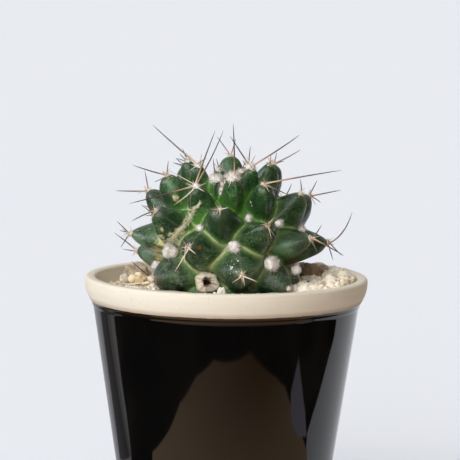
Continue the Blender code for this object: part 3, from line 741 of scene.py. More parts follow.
def skin_marks(points):
    """Share of the length, age, millimetres from groove, keel and ridge, and patches, at each point."""
    local = (points - np.array(plant_frame.translation)) @ plant_turn
    best, second = np.full((2, len(points)), 9.0)
    marks = {name: np.zeros(len(points)) for name in ("share", "age", "keel", "ridge")}
    for number in range(TUBERCLES):
        shape = tubercle(number)
        share = np.full(len(points), 0.5)
        for _ in range(3):
            share = np.clip(rows_dot(shape.tip - local, axis_at(shape, share)) / shape.length, 0.0, 1.0)
        axis = axis_at(shape, share)
        offset = local - shape.tip + axis * (shape.length * share)[:, None]
        across = offset @ shape.side / shape.broad
        above = rows_dot(offset, np.cross(axis, shape.side))
        above /= np.where(above > 0.0, shape.high, shape.deep)
        along = np.abs(rows_dot(offset, axis))
        power = squareness(share)
        radius = (np.abs(across) ** power + np.abs(above) ** power) ** (1.0 / power)
        apart = radius - shape.root * np.maximum(share, 0.003) ** shape.blunt + along
        nearer = apart < best
        second = np.where(nearer, best, np.minimum(second, apart))
        best = np.where(nearer, apart, best)
        marks["share"][nearer] = share[nearer]
        marks["age"][nearer] = number / (TUBERCLES - 1.0)
        beside = np.minimum(np.abs(across), MARK_REACH)
        ridge = np.minimum(np.abs(above), np.where(above > 0.0, beside, MARK_REACH))
        marks["keel"][nearer] = np.where(above < 0.0, beside, MARK_REACH)[nearer] / MM
        marks["ridge"][nearer] = ridge[nearer] / MM
    marks["groove"] = np.clip(second - np.minimum(best, 0.0), 0.0, GROOVE_REACH) / MM
    marks.update({name: patched(points, places) for name, places in PATCHES.items()})
    return marks


spots = points_of(skin)
normals = np.empty(len(skin.data.vertices) * 3, np.float32)
skin.data.vertex_normals.foreach_get("vector", normals)
swells = [
    noise.noise(Vector(spot) / SWELL_SIZE) + 0.4 * noise.noise(Vector(spot) / SMALL_SWELL_SIZE)
    for spot in spots
]
spots += normals.reshape(-1, 3) * np.array(swells)[:, None] * SKIN_SWELL
sunk = (np.hypot(spots[:, 0], spots[:, 1]) > SEAT_RADIUS - GAP) & (spots[:, 2] < SEAT_LEVEL + GAP)
spots[sunk, 2] = SEAT_LEVEL + GAP
shaped(skin, spots)
for name, values in skin_marks(spots).items():
    marked(skin, name, values)


def cactus_skin():
    """Waxy green skin: dark on the faces, bright in the valleys, with corky old grooves."""
    finish, place = new_finish("cactus_skin")
    share, age, groove, keel, ridge, cork, rust, chalk, painted_sheen = (
        place.mark(name) for name in ("share", "age", "groove", "keel", "ridge", *PATCHES)
    )
    cloud = grain(place, 140.0, 3.0) - 0.5
    fine = grain(place, 850.0, 4.0, 0.65) - 0.5
    stipple = grain(place, 2300.0, 2.0, 0.6)
    cells = place.node("TexVoronoi", {}, {"Vector": place, "Scale": 1350.0})
    specks = place.node("TexVoronoi", {}, {"Vector": place, "Scale": 760.0})
    old = step(age, 0.20, 0.50)
    oldest = step(age, 0.55, 0.72)
    some_keels = step(grain(place, 60.0, 0.0), 0.50, 0.56)
    dust = step(grain(place, 330.0, 5.0, 0.7), 0.46, 0.70) * oldest
    corky = step(cork + 1.5 * fine + 0.9 * cloud, 0.22, 0.72)
    # Each face is darkest in its middle and lighter towards the grooves round it.
    body = blend(old, (0.017, 0.056, 0.015), (0.010, 0.030, 0.009))
    for mask, colour in (
        (step(groove + 2.2 * cloud + 1.4 * fine, 3.0, 0.2),
         blend(old, (0.085, 0.215, 0.046), (0.105, 0.190, 0.056))),
        (0.5 * step(cloud + 0.8 * fine, 0.02, 0.20),
         blend(old, (0.060, 0.135, 0.045), (0.040, 0.085, 0.036))),
        # Fine pale stippling, as the wax of the skin has.
        (0.50 * step(stipple + 0.5 * cloud, 0.52, 0.66),
         blend(old, (0.10, 0.25, 0.07), (0.10, 0.20, 0.08))),
        # Young tubercles are bright yellow-green low down, where they are new.
        ((0.86 - 0.30 * step(stipple, 0.45, 0.62)) * step(share + 0.8 * cloud, 0.40, 0.88) * (1 - 0.6 * old),
         (0.125, 0.34, 0.040)),
        # The tips of the old ones are brownish.
        (0.5 * step(share + 0.2 * cloud, 0.16, 0.02) * old, (0.075, 0.085, 0.050)),
        # Painted highlights: pale lines along the angles and along some keels, where their edges would catch
        # the light.
        (0.16 * step(ridge + 1.2 * fine, 0.60, 0.05) * step(share, 0.08, 0.30), (0.22, 0.28, 0.17)),
        (0.28 * step(keel + 0.5 * fine, 0.34, 0.06) * step(share, 0.02, 0.08) * some_keels,
         (0.34, 0.36, 0.20)),
        # Grooves: bright green between the young ones, corky cream between the old ones.
        (0.75 * step(groove + 1.6 * fine, 0.95, 0.15), blend(old, (0.16, 0.36, 0.06), (0.50, 0.47, 0.24))),
        (0.5 * step(groove + 3.0 * cloud + 1.5 * fine, 1.7, 0.2) * step(age, 0.40, 0.66), (0.36, 0.38, 0.17)),
        # Pale pores and dust, thickest on the oldest, and flecks.
        ((0.20 + 0.16 * oldest) * step(cells, 0.30, 0.12) * step(grain(place, 420.0, 2.0), 0.44, 0.62),
         (0.34, 0.44, 0.24)),
        (0.30 * dust, (0.33, 0.39, 0.26)),
        (0.85 * step(specks, 0.15, 0.08) * step(grain(place, 170.0, 2.0), 0.53, 0.60) * step(age, 0.50, 0.66),
         (0.72, 0.71, 0.60)),
        # Painted sheen in lighter grey-green patches, then corky skin, a rusty spot and chalky scratches.
        (0.55 * step(painted_sheen + 0.8 * fine, 0.05, 0.60), (0.15, 0.27, 0.145)),
        (0.72 * corky, blend(step(fine + 0.6 * cloud, -0.14, 0.14), (0.50, 0.36, 0.12), (0.82, 0.73, 0.42))),
        (0.62 * step(rust + 2.2 * fine, 0.30, 0.70), (0.24, 0.075, 0.018)),
        (0.7 * step(chalk + 0.9 * fine, 0.38, 0.50), (0.72, 0.72, 0.58)),
    ):
        body = blend(mask, body, colour)
    rough = 0.27 + 0.10 * step(fine, -0.1, 0.2) + 0.10 * oldest + 0.35 * corky
    bumps = fine * 0.7 + cells * 0.35 + corky * fine * 2.0 + 0.35 * dust
    coated(finish, Base_Color=body, Roughness=rough, Normal=relief(bumps, 0.09 * MM, 0.9), IOR=1.41)
    coated(finish, Subsurface_Weight=0.08, Subsurface_Scale=0.0010, Subsurface_Radius=(0.5, 1.0, 0.25))
    return finish


dressed(skin, cactus_skin(), "plant", "plant")

# Scar. A corky ring where an old tubercle has dried off, low at the front: cream bark drawn up
# round a dark hole. It is thrown as a shallow ring, roughened, and set in the skin.
SCAR_CENTRE = MM * Vector((-5.35, -14.0, 77.85))
SCAR_TURN = Matrix.Rotation(math.radians(74.0), 3, "X")
SCAR_RADIUS = 3.6 * MM
SCAR_FLATNESS = 0.82
SCAR_STEPS = 60
SCAR_OUTLINE = (
    (1.0, -0.9), (1.0, -0.10), (0.93, 0.02), (0.82, 0.07), (0.70, 0.12), (0.58, 0.17), (0.47, 0.24),
    (0.40, 0.28), (0.34, 0.25), (0.30, 0.12), (0.27, -0.05), (0.22, -0.30), (0.12, -0.42),
)

outline = [(POLE * 0.5, -0.9 * SCAR_RADIUS)]
outline += [(SCAR_RADIUS * radius, SCAR_RADIUS * height) for radius, height in SCAR_OUTLINE]
outline.append((POLE * 0.5, -0.45 * SCAR_RADIUS))
scar = thrown("old_scar", outline, SCAR_STEPS)
streaks, openings = [], []
for vertex in scar.data.vertices:
    x, y, z = vertex.co / SCAR_RADIUS
    reach = math.hypot(x, y)
    way = Vector((x, y, 0.0)).normalized()
    streak = noise.noise(5.5 * way + Vector((0.0, 0.0, reach)))
    streak += 0.5 * noise.noise(13.0 * way + Vector((0.0, 0.0, 2.0 * reach)))
    swell = 1.0 + 0.30 * noise.noise(1.2 * way + Vector((3.0, 0.0, 0.0))) + 0.10 * noise.noise(4.0 * way)
    lift = 0.04 * streak * min(1.0, 2.0 * reach)
    spot = Vector((x * swell, y * swell * SCAR_FLATNESS, z + lift)) * SCAR_RADIUS
    vertex.co = SCAR_CENTRE + SCAR_TURN @ spot
    streaks.append(streak)
    openings.append(reach)
scar.data.shade_smooth()
marked(scar, "streak", streaks)
marked(scar, "opening", openings)


def dry_bark():
    """Dry cream bark with streaks out from the hole, brown in its mouth, and painted shade near black deep
    inside.
    """
    finish, place = new_finish("dry_bark")
    streak, opening = place.mark("streak"), place.mark("opening")
    fine = grain(place, 1600.0, 4.0, 0.6) - 0.5
    body = blend(step(streak + 1.6 * fine, -0.55, 0.35), (0.54, 0.43, 0.31), (0.80, 0.72, 0.60))
    body = blend(0.7 * step(opening + 0.25 * streak, 0.80, 1.0), body, (0.34, 0.40, 0.20))
    body = blend(0.75 * step(opening + 1.1 * fine, 0.62, 0.36), body, (0.40, 0.26, 0.16))
    # Painted shade: deep in the hole the bark is near black.
    body = blend(step(opening + 1.1 * fine, 0.42, 0.26), body, (0.030, 0.016, 0.008))
    coated(finish, Base_Color=body, Roughness=0.9, Normal=relief(fine + 0.4 * streak, 0.12 * MM, 0.9))
    return finish


dressed(scar, dry_bark(), "plant", "plant")

# Spines. Each areole bears a few long awl-shaped spines and some short pale ones round them,
# dark at the tip and tan at the root. One model spine is drawn out and bent to each reach.
SPINE_REACH = {
    5: ((-0.9, -1.0, 5.4),), 7: ((-6.1, -1.5, 9.2), (13.6, 4.0, 8.7), (-4.3, -5.5, -3.7)),
    8: ((-12.8, 6.0, 10.5), (2.5, -3.0, 2.0)), 10: ((-0.5, -3.0, 15.0), (3.0, -4.5, -2.0)),
    12: ((8.7, 3.0, 4.2), (0.2, -1.0, 3.4)),
    13: (
        (-17.9, -7.0, -4.5), (-6.1, -5.0, -4.8), (5.6, 1.0, 15.7), (7.9, 2.0, 15.5), (2.8, -3.5, -1.1),
    ),
    14: ((-4.0, 5.0, 5.2), (1.5, 2.0, 5.0)),
    15: ((21.2, -5.0, 4.5), (7.3, -4.0, -2.8), (2.1, -2.0, 3.6)),
    16: ((-10.1, 0.0, 2.8), (0.5, 1.0, 4.3), (-3.4, -3.5, -1.4)),
    18: ((-2.6, -3.5, 0.6), (2.3, -3.5, 0.9), (0.0, -3.5, -1.7)),
    20: ((-0.4, -1.0, 4.3), (2.5, -3.0, -1.4)), 21: ((-6.7, -3.5, -2.8), (-3.4, 0.5, 1.1)),
    23: ((2.9, -3.5, -4.0), (2.9, -3.0, 2.4), (-0.5, -3.0, 2.6)),
    24: ((-9.2, 0.0, 0.0), (-1.1, 1.5, 5.6)), 25: ((8.7, 1.5, 1.7), (2.2, 1.0, 4.3), (3.2, 0.0, -2.0)),
    26: ((-4.2, -4.0, -7.0), (2.3, -3.5, -1.7), (-1.2, -3.0, 3.0)),
    28: ((8.7, -4.0, -4.3), (2.7, -2.0, 4.3), (1.9, -3.5, -3.5)),
    29: ((-3.5, -1.0, 3.7), (-2.6, -2.5, -3.8), (-3.0, 0.0, 0.6)),
    31: ((-3.0, -3.0, -1.6), (4.2, -3.0, -1.2), (0.4, -4.0, -2.2)),
    33: ((6.7, 0.0, 8.9), (3.9, -1.5, -4.0), (1.5, -2.0, -5.0)),
    34: ((-6.5, -2.0, 5.7), (-6.0, -2.5, -1.0)), 37: ((-6.8, 2.0, 5.1), (-4.0, 1.0, 0.5)),
    41: ((-1.8, -5.0, -1.5), (3.0, -3.0, 1.5)),
}
# More of them, short or behind the others, in the same terms.
MORE_SPINES = {
    5: ((-2.5, -3.0, -0.8),), 7: ((1.5, 1.0, 3.2), (-1.5, 1.5, 3.0)),
    8: ((-4.0, 1.0, 3.4), (1.0, 2.0, 3.6), (-2.6, -1.5, -1.5)),
    10: ((3.3, -2.0, 2.5), (3.4, -3.0, 1.9), (-1.0, -3.5, -2.6)),
    12: ((2.2, 0.5, 0.3), (-1.6, -2.0, -1.2)), 13: ((3.0, -1.5, 1.5), (-7.8, -1.0, 4.3)),
    15: ((1.0, -2.5, -1.8), (-1.6, -2.2, 0.4), (-1.0, -2.0, 1.8)),
    16: ((-1.8, -1.0, 1.6), (2.0, -2.0, 0.6)), 18: ((-1.0, -2.6, -1.6),),
    20: ((1.3, -1.0, 1.6), (-1.4, -2.5, -1.0)), 21: ((-1.5, -2.0, -3.3), (1.0, -2.0, 1.4)),
    23: ((1.0, -3.0, -3.1), (-1.8, -2.0, 0.6)), 24: ((-2.4, -1.0, -1.2), (-1.0, 0.5, 1.8)),
    25: ((1.8, 0.0, -3.0), (0.4, -1.8, 1.2)),
    26: ((-3.0, -2.5, -0.5), (-0.3, -3.5, -4.6), (1.2, -2.4, 1.6)),
    28: ((3.1, -2.0, 1.0), (-0.6, -2.6, -1.0)), 29: ((-2.2, -1.5, 1.8), (-1.6, -1.6, -0.8)),
    31: ((-0.6, -2.6, 2.0), (-1.6, -3.0, 0.4)), 33: ((2.4, -1.5, 0.8), (0.2, -2.2, 1.6)),
    34: ((-2.0, -2.4, -1.8), (-0.6, -2.4, 1.8)),
}
# Of the hidden or half hidden areoles behind the apex, the few that can be made out.
SPINES_BEHIND = {
    6: ((-0.8, 1.0, 3.0),), 9: ((1.5, 1.0, 3.0),),
    11: ((-2.4, 1.0, 2.2), (-1.5, 1.5, 3.4), (-3.0, 1.0, 0.8)), 17: ((1.0, 1.5, 3.6), (3.0, 1.0, 0.8)),
    19: ((-2.6, 1.0, 2.0), (-3.4, 1.5, 0.6)),
}
# Roots and reaches of the youngest, still reddish, at the apex.
YOUNGEST = (
    ((-0.5, -10.6, 104.4), (0.0, -1.5, 2.8)), ((-0.3, -10.8, 104.4), (0.7, -1.6, 1.9)),
    ((-0.7, -10.5, 104.5), (-0.8, -1.5, 1.8)), ((-0.4, -10.8, 104.2), (0.3, -2.1, 0.6)),
    ((-0.9, -10.2, 104.3), (-0.4, -1.3, 2.5)),
)
# An old one, dry and cream, that hangs down over the soil at the left.
DRIED = (-21.2, -15.4, 78.0), (-10.4, -1.0, -0.1)
DRIED_BOW = Vector((0.0, 0.0, -0.7)) * MM
# The long one at the right that bows out and down.
BOWED_NUMBER, BOW = 33, Vector((0.9, 0.0, -1.1)) * MM
# Main spines that are cream to their tips, by areole.
PALE_SPINES = {13: (1, 4), 18: (0, 1, 2), 26: (0, 1), 31: (0, 1, 2)}
SPINES_AROUND = 3
YOUNG_SPINE = 12.0 * MM
OLD_SPINE = 5.5 * MM
SPINE_CLEARANCE = 0.8 * MM
SPINE_SEED = 7
SHORT_SEED = 23
SPINE_ROOT_DEPTH = 0.8 * MM
SPINE_RINGS = 9
SPINE_RADIUS, LONG_SPINE_RADIUS, LONG_REACH = 0.17 * MM, 0.26 * MM, 12.0 * MM
SHORT_RADIUS = 0.11, 0.16
SHORT_LENGTH = 1.3, 2.9
# How far the middles and the roots are off, for the main ones and the short ones.
BOW_SHARE, SHORT_BOW_SHARE = 0.018, 0.03
ROOT_OFF, SHORT_ROOT_OFF = 0.16, 0.3
YOUNGEST_RADIUS, DRIED_RADIUS = 0.15 * MM, 0.42 * MM
YOUNGEST_TONE, PALE_TONE, DRIED_TONE = 2.0, 0.15, 0.1


def is_clear(start, reach):
    """True where a spine stays over the soil and over the pot's lip."""
    for share in (0.4, 0.7, 1.0):
        point = start + reach * share
        outside = math.hypot(point.x, point.y)
        if outside > RIM_RADIUS - SPINE_CLEARANCE:
            return False
        floor = RIM_HEIGHT if outside > SEAT_FLAT_END + 4.0 * MM else SOIL_LEVEL
        if point.z < floor + 2.0 * SPINE_CLEARANCE:
            return False
    return True


def across_of(number):
    """Axis, side and upper directions of a tubercle at its tip, in the world's frame."""
    shape = tubercle(number)
    turn = plant_frame.to_3x3()
    axis, side = Vector(axis_at(shape, 0.0)[0]), Vector(shape.side)
    return turn @ axis, turn @ side, turn @ axis.cross(side)


def opened(number, around, open_angle):
    """A direction that stands open from a tubercle's axis, at an angle round it."""
    axis, side, upper = across_of(number)
    across = math.cos(around) * side + math.sin(around) * upper
    return math.cos(open_angle) * axis + math.sin(open_angle) * across


def spine_reaches(number, draw):
    """Reach of each main spine of one areole, in the world's frame."""
    if number in SPINE_REACH:
        return [MM * Vector(reach) for reach in SPINE_REACH[number]]
    if number < APEX_NUMBER:
        return []
    full = between(YOUNG_SPINE, OLD_SPINE, number / SPREAD_NUMBER)
    reaches = []
    for index in range(SPINES_AROUND):
        around = math.radians(90.0 + 360.0 * index / SPINES_AROUND + draw.uniform(-25.0, 25.0))
        open_angle = math.radians(draw.uniform(30.0, 55.0) if index else 18.0)
        size = full * (draw.uniform(0.35, 0.6) if index else draw.uniform(0.8, 1.2))
        reaches.append(size * opened(number, around, open_angle))
    return reaches


def short_reaches(number, draw):
    """Reach of the short spines round the others, lying open on the tubercle."""
    found = [MM * Vector(reach) for reach in MORE_SPINES.get(number, ())]
    for _ in range(4 if number >= APEX_NUMBER else 2):
        around = draw.uniform(0.0, 2.0 * math.pi)
        open_angle = math.radians(draw.uniform(35.0, 75.0))
        size = draw.uniform(*SHORT_LENGTH) * MM
        found.append(size * opened(number, around, open_angle))
    return found


def astray(draw, spread=1.0):
    """A random vector."""
    return Vector([draw.gauss(0.0, spread) for _ in range(3)])


def ringed(unit, line, way, radius):
    """A unit model's rings set round a line of points, square to its way."""
    side = way.orthogonal().normalized()
    return line + radius * (unit[:, 0:1] * np.array(side) + unit[:, 1:2] * np.array(way.cross(side)))


tapering = [((1.0 - t) ** 0.5 * 0.86 + 0.14, t) for t in np.linspace(0.0, 1.0, SPINE_RINGS)]
spine_model = thrown("spine_model", [(0.001, 0.0), *tapering, (0.001, 1.0)], 7, UNIT_POLE)
spine_unit = points_of(spine_model)
spines, tones = [], []


def set_spine(start, reach, radius, bow, tone):
    """The model spine drawn out from start along reach, its middle bowed aside by a vector."""
    along = reach.normalized()
    length = reach.length + SPINE_ROOT_DEPTH
    first = start - along * SPINE_ROOT_DEPTH
    share = spine_unit[:, 2:3]
    line = np.array(first) + share * np.array(along * length)
    line = line + 4.0 * share * (1.0 - share) * np.array(bow)
    spines.append(ringed(spine_unit, line, along, radius))
    tones.append(tone)


draw = random.Random(SPINE_SEED)
small = random.Random(SHORT_SEED)
for number in range(TUBERCLES):
    tip = plant_frame @ tubercle_place(number)[2]
    reaches = spine_reaches(number, draw)
    if number in SPINES_BEHIND:
        reaches = [MM * Vector(reach) for reach in SPINES_BEHIND[number]]
    for index, reach in enumerate(reaches):
        if not is_clear(tip, reach):
            continue
        bow = astray(small) * BOW_SHARE * reach.length
        if number == BOWED_NUMBER and reach.z > 0.0:
            bow = BOW
        root = tip + astray(small) * ROOT_OFF * MM
        radius = between(SPINE_RADIUS, LONG_SPINE_RADIUS, reach.length / LONG_REACH)
        pale = index in PALE_SPINES.get(number, ())
        set_spine(root, reach, radius, bow, PALE_TONE if pale else small.uniform(0.45, 1.0))
    for reach in short_reaches(number, small):
        if not is_clear(tip, reach):
            continue
        bow = astray(small) * SHORT_BOW_SHARE * reach.length
        root = tip + astray(small) * SHORT_ROOT_OFF * MM
        set_spine(root, reach, small.uniform(*SHORT_RADIUS) * MM, bow, small.uniform(0.0, 0.5))
for root, reach in YOUNGEST:
    set_spine(MM * Vector(root), MM * Vector(reach), YOUNGEST_RADIUS, Vector(), YOUNGEST_TONE)
root, reach = DRIED
set_spine(MM * Vector(root), MM * Vector(reach), DRIED_RADIUS, DRIED_BOW, DRIED_TONE)
along = np.broadcast_to(spine_unit[:, 2], (len(spines), len(spine_unit)))
spine_piece = grown("spines", spine_model, np.array(spines), {"tone": tones, "along": along})


def spine_horn():
    """Horn: tan at the root, brown along it, near black at the tip; the short ones are pale."""
    finish, place = new_finish("spine_horn")
    along, tone = place.mark("along"), place.mark("tone")
    streaked = along + 0.16 * (grain(place, 700.0, 2.0) - 0.5)
    dark = streaked.ramp(
        (0.0, (0.76, 0.62, 0.46)), (0.20, (0.48, 0.31, 0.19)), (0.42, (0.14, 0.080, 0.055)),
        (0.66, (0.034, 0.024, 0.022)),
    )
    pale = streaked.ramp((0.0, (0.78, 0.68, 0.54)), (0.60, (0.74, 0.62, 0.46)), (1.0, (0.42, 0.28, 0.18)))
    colour = blend(step(tone, 0.25, 0.6), pale, dark)
    colour = blend(step(tone, 1.2, 1.8), colour, blend(along, (0.62, 0.30, 0.20), (0.30, 0.075, 0.04)))
    coated(finish, Base_Color=colour, Roughness=0.42, Normal=relief(grain(place, 2500.0), 0.02 * MM, 0.5))
    coated(finish, Subsurface_Weight=0.1, Subsurface_Scale=0.0008)
    return finish


dressed(spine_piece, spine_horn(), "plant", "plant")

# Wool. White wool fills the young areoles and the axils of the old tubercles. Each tuft is a
# lumpy felted ball with fine hairs standing out of it.
ROW_STEP = 13
AXIL_SHARE = 0.4
YOUNG_AREOLE = 1.9 * MM
OLD_AREOLE = 1.0 * MM
WOOL_FIRST = 26
YOUNG_WOOL = 1.1 * MM
OLD_WOOL = 2.5 * MM
WOOL_GROWTH = 0.28 * MM
WOOL_DEPTH = 5.2 * MM
WOOL_SEED = 5
SCAR_NUMBER = 39
LUMPY_SIZE = 1.15 * MM
YOUNG_NUMBER, OLD_DULL = 14, 0.3
HAIRS, HAIRS_MORE = 75, 180
HAIR_START = 0.55, 0.85
HAIR_LENGTH = 0.35, 0.85
HAIR_RADIUS = 0.026, 0.042
LONG_HAIR_SHARE, LONGER = 0.25, 1.9
# Dullness of single areoles, from white to brown, and radii of the fuller ones, in millimetres.
AREOLE_DULL = {12: 0.8, 21: 0.1, 23: 1.0}
AREOLE_WOOL = {
    0: 0.8, 1: 0.8, 2: 1.0, 3: 1.0, 4: 1.0, 5: 2.1, 6: 1.2, 7: 1.75, 8: 1.3, 9: 1.2, 10: 2.2, 13: 1.4,
}
# Moves and radii of single axil tufts, and more tufts as (x, y, z, radius), in millimetres.
WOOL_MOVED = {
    26: (0.5, 0.0, 0.0), 31: (0.7, 0.0, 0.5), 34: (0.6, -0.4, 0.0), 36: (0.8, -0.6, -0.8),
    41: (2.3, -1.5, -2.3), 42: (-1.6, 1.5, -0.4),
}
AXIL_WOOL = {26: 1.15, 28: 1.3, 31: 2.1, 33: 1.3, 34: 2.4, 36: 2.5, 41: 1.6, 42: 1.7}
MORE_WOOL = (
    (6.0, -12.4, 95.6, 1.2), (-0.9, -8.2, 104.6, 1.2), (1.6, -11.6, 105.6, 1.4),
    (21.0, -1.5, 91.5, 1.2), (-1.6, -9.5, 103.3, 0.8), (-1.7, -9.4, 102.2, 0.7),
)
# An old areole at the left whose wool has withered to cream, as (x, y, z, radius, dullness).
WITHERED = (
    (-20.9, -15.6, 78.7, 1.45, 0.75), (-20.4, -16.0, 77.0, 0.9, 0.1), (-20.0, -16.2, 76.0, 0.8, 0.0),
)


def axil_place(number):
    """The centre of the wool in the axil over a tubercle, in the plant's own frame."""
    azimuth, polar, tip = tubercle_place(number)
    upper_polar, upper_tip = tubercle_place(number - ROW_STEP)[1:]
    middle = tip.lerp(upper_tip, AXIL_SHARE)
    return middle - Vector(directions(azimuth, 0.5 * (polar + upper_polar))[0]) * WOOL_DEPTH


tufts = []
for number in range(TUBERCLES):
    tip = plant_frame @ tubercle_place(number)[2]
    axis = across_of(number)[0]
    size = between(YOUNG_AREOLE, OLD_AREOLE, number / ROW_STEP)
    size = AREOLE_WOOL.get(number, 0.85 * size / MM) * MM
    dull = AREOLE_DULL.get(number, 0.0 if number < YOUNG_NUMBER else OLD_DULL)
    tufts.append((tip - 0.35 * size * axis, size, axis, dull))
    if number >= WOOL_FIRST and number != SCAR_NUMBER:
        size = min(OLD_WOOL, YOUNG_WOOL + WOOL_GROWTH * (number - WOOL_FIRST))
        size = AXIL_WOOL.get(number, size / MM) * MM
        centre = plant_frame @ axil_place(number) + MM * Vector(WOOL_MOVED.get(number, (0.0, 0.0, 0.0)))
        tufts.append((centre, size, (centre - PLANT_CENTRE).normalized(), 0.0))
for x, y, z, size, dull in [(*tuft, 0.0) for tuft in MORE_WOOL] + list(WITHERED):
    centre = MM * Vector((x, y, z))
    tufts.append((centre, size * MM, (centre - PLANT_CENTRE).normalized(), dull))

wool = random.Random(WOOL_SEED)
bpy.ops.mesh.primitive_ico_sphere_add(subdivisions=3, radius=1.0)
felt_model = bpy.context.object
felt_unit = points_of(felt_model)
balls, dulls = [], []
for index, (centre, size, axis, dull) in enumerate(tufts):
    lumps = 3 if size > LUMPY_SIZE else 1
    for lump in range(lumps):
        middle = centre + (astray(wool, 0.11 * size) if lumps > 1 else Vector())
        part = size * (wool.uniform(0.66, 0.80) if lumps > 1 else 0.82)
        swell = np.array([
            0.92 + 0.22 * noise.noise(1.9 * Vector(p) + Vector((index, lump, 0.0)))
            + 0.14 * noise.noise(5.5 * Vector(p) + Vector((lump, index, 0.0)))
            for p in felt_unit
        ])
        balls.append(np.array(middle) + felt_unit * swell[:, None] * part)
        dulls.append(dull)
felt = grown("wool_felt", felt_model, np.array(balls), {"dull": dulls})

# The hairs; the withered tufts have none.
hair_model = thrown("hair_model", [(1.0, 0.0), (0.75, 0.5), (0.001, 1.0)], 3, UNIT_POLE)
hair_unit = points_of(hair_model)
hairs, hair_dulls = [], []
for centre, size, axis, dull in tufts[:-len(WITHERED)]:
    for _ in range(int(HAIRS + HAIRS_MORE * (size / MM) ** 2)):
        way = astray(wool).normalized()
        if way.dot(axis) < -0.25:
            continue
        start = centre + way * size * wool.uniform(*HAIR_START)
        reach = (way + 0.35 * astray(wool) + Vector((0.0, 0.0, 0.2))).normalized()
        length = wool.uniform(*HAIR_LENGTH) * MM * (0.6 + 0.25 * size / MM)
        if way.dot(axis) > 0.2 and wool.random() < LONG_HAIR_SHARE:
            length *= LONGER
        side = reach.orthogonal().normalized()
        curl = 0.25 * length * (side * wool.uniform(-1, 1) + reach.cross(side) * wool.uniform(-1, 1))
        share = hair_unit[:, 2:3]
        line = np.array(start) + share * np.array(reach * length) + share**2 * np.array(curl)
        hairs.append(ringed(hair_unit, line, reach, wool.uniform(*HAIR_RADIUS) * MM))
        hair_dulls.append(dull)
hair_piece = grown("wool_hairs", hair_model, np.array(hairs), {"dull": hair_dulls})


def wool_fleece():
    """Matted white wool, cream and a little brown on the old areoles."""
    finish, place = new_finish("wool_fleece")
    curl = grain(place, 1500.0, 4.0, 0.65)
    white = blend(step(curl, 0.30, 0.62), (0.74, 0.66, 0.58), (0.92, 0.87, 0.81))
    cream = blend(step(curl, 0.35, 0.65), (0.46, 0.30, 0.16), (0.80, 0.66, 0.48))
    coated(finish, Base_Color=blend(place.mark("dull"), white, cream), Roughness=0.95)
    coated(finish, Normal=relief(curl, 0.22 * MM, 1.0), Sheen_Weight=0.25, Sheen_Roughness=0.5)
    return finish


fleece = wool_fleece()
dressed(felt, fleece, "plant", "plant")
dressed(hair_piece, fleece, "plant", "plant")

# Dried fibres. Thin straw-yellow threads of old wool and bark that lie along a groove at the
# left of the plant. Each is a thread drawn along the skin, a little off it.
FIBRE_PATH = (
    (-7.8, -13.8, 99.9), (-9.2, -12.6, 97.9), (-10.6, -10.0, 95.4), (-11.9, -11.2, 93.5),
    (-13.3, -11.5, 91.8), (-15.0, -10.4, 89.7), (-16.1, -8.9, 88.1),
)
FIBRES = 380
FIBRE_SIDES = 0.28, 1.15
FIBRE_SEED = 31
FIBRE_TURN = 0.7
FIBRE_LENGTH = 0.5, 1.9
FIBRE_RADIUS = 0.035, 0.065
FIBRE_OUTLINE = (0.001, 0.0), (0.6, 0.0), (1.0, 0.2), (1.0, 0.4), (0.9, 0.6), (0.7, 0.8), (0.001, 1.0)

threads = random.Random(FIBRE_SEED)
fibre_model = thrown("fibre_model", FIBRE_OUTLINE, 4, UNIT_POLE)
fibre_unit = points_of(fibre_model)


def along_line(shares, line):
    """Points at shares of the way along a line of evenly spaced points."""
    stations = np.linspace(0.0, 1.0, len(line))
    return np.stack([np.interp(shares, stations, line[:, k]) for k in range(3)], axis=-1)


path = np.array(FIBRE_PATH) * MM
fibres, fibre_tones = [], []
for _ in range(FIBRES):
    share = threads.uniform(0.0, 1.0)
    shares = max(0.0, share - 0.1), share, min(1.0, share + 0.1)
    behind, first, ahead = (Vector(spot) for spot in along_line(shares, path))
    way = (ahead - behind).normalized()
    side = way.cross((first - PLANT_CENTRE).normalized()).normalized()
    first = first + side * threads.gauss(0.0, between(*FIBRE_SIDES, share)) * MM
    turn = threads.gauss(0.0, FIBRE_TURN)
    way = (way * math.cos(turn) + side * math.sin(turn)) * threads.choice((-1.0, 1.0))
    length = threads.uniform(*FIBRE_LENGTH) * MM
    curl = side * threads.gauss(0.0, 0.16) * length
    lift = threads.uniform(0.1, 0.5) * MM
    line = []
    for along in np.linspace(0.0, 1.0, 6).tolist():
        spot = first + way * length * along + 4.0 * along * (1.0 - along) * curl
        _, place, normal, _ = skin.closest_point_on_mesh(spot)
        line.append(place + normal * (0.05 * MM + lift * along))
    middle = along_line(fibre_unit[:, 2], np.array(line))
    fibres.append(ringed(fibre_unit, middle, way, threads.uniform(*FIBRE_RADIUS) * MM))
    fibre_tones.append(threads.random())
fibre_piece = grown("dried_fibres", fibre_model, np.array(fibres), {"tint": fibre_tones})


def straw():
    """Dry straw-yellow fibre, a tint for each thread."""
    finish, place = new_finish("straw")
    tints = (0.0, (0.86, 0.76, 0.50)), (0.6, (0.80, 0.76, 0.50)), (1.0, (0.92, 0.88, 0.76))
    fine = relief(grain(place, 3000.0), 0.02 * MM, 0.5)
    coated(finish, Base_Color=place.mark("tint").ramp(*tints), Roughness=0.7, Normal=fine)
    return finish


dressed(fibre_piece, straw(), "plant", "plant")

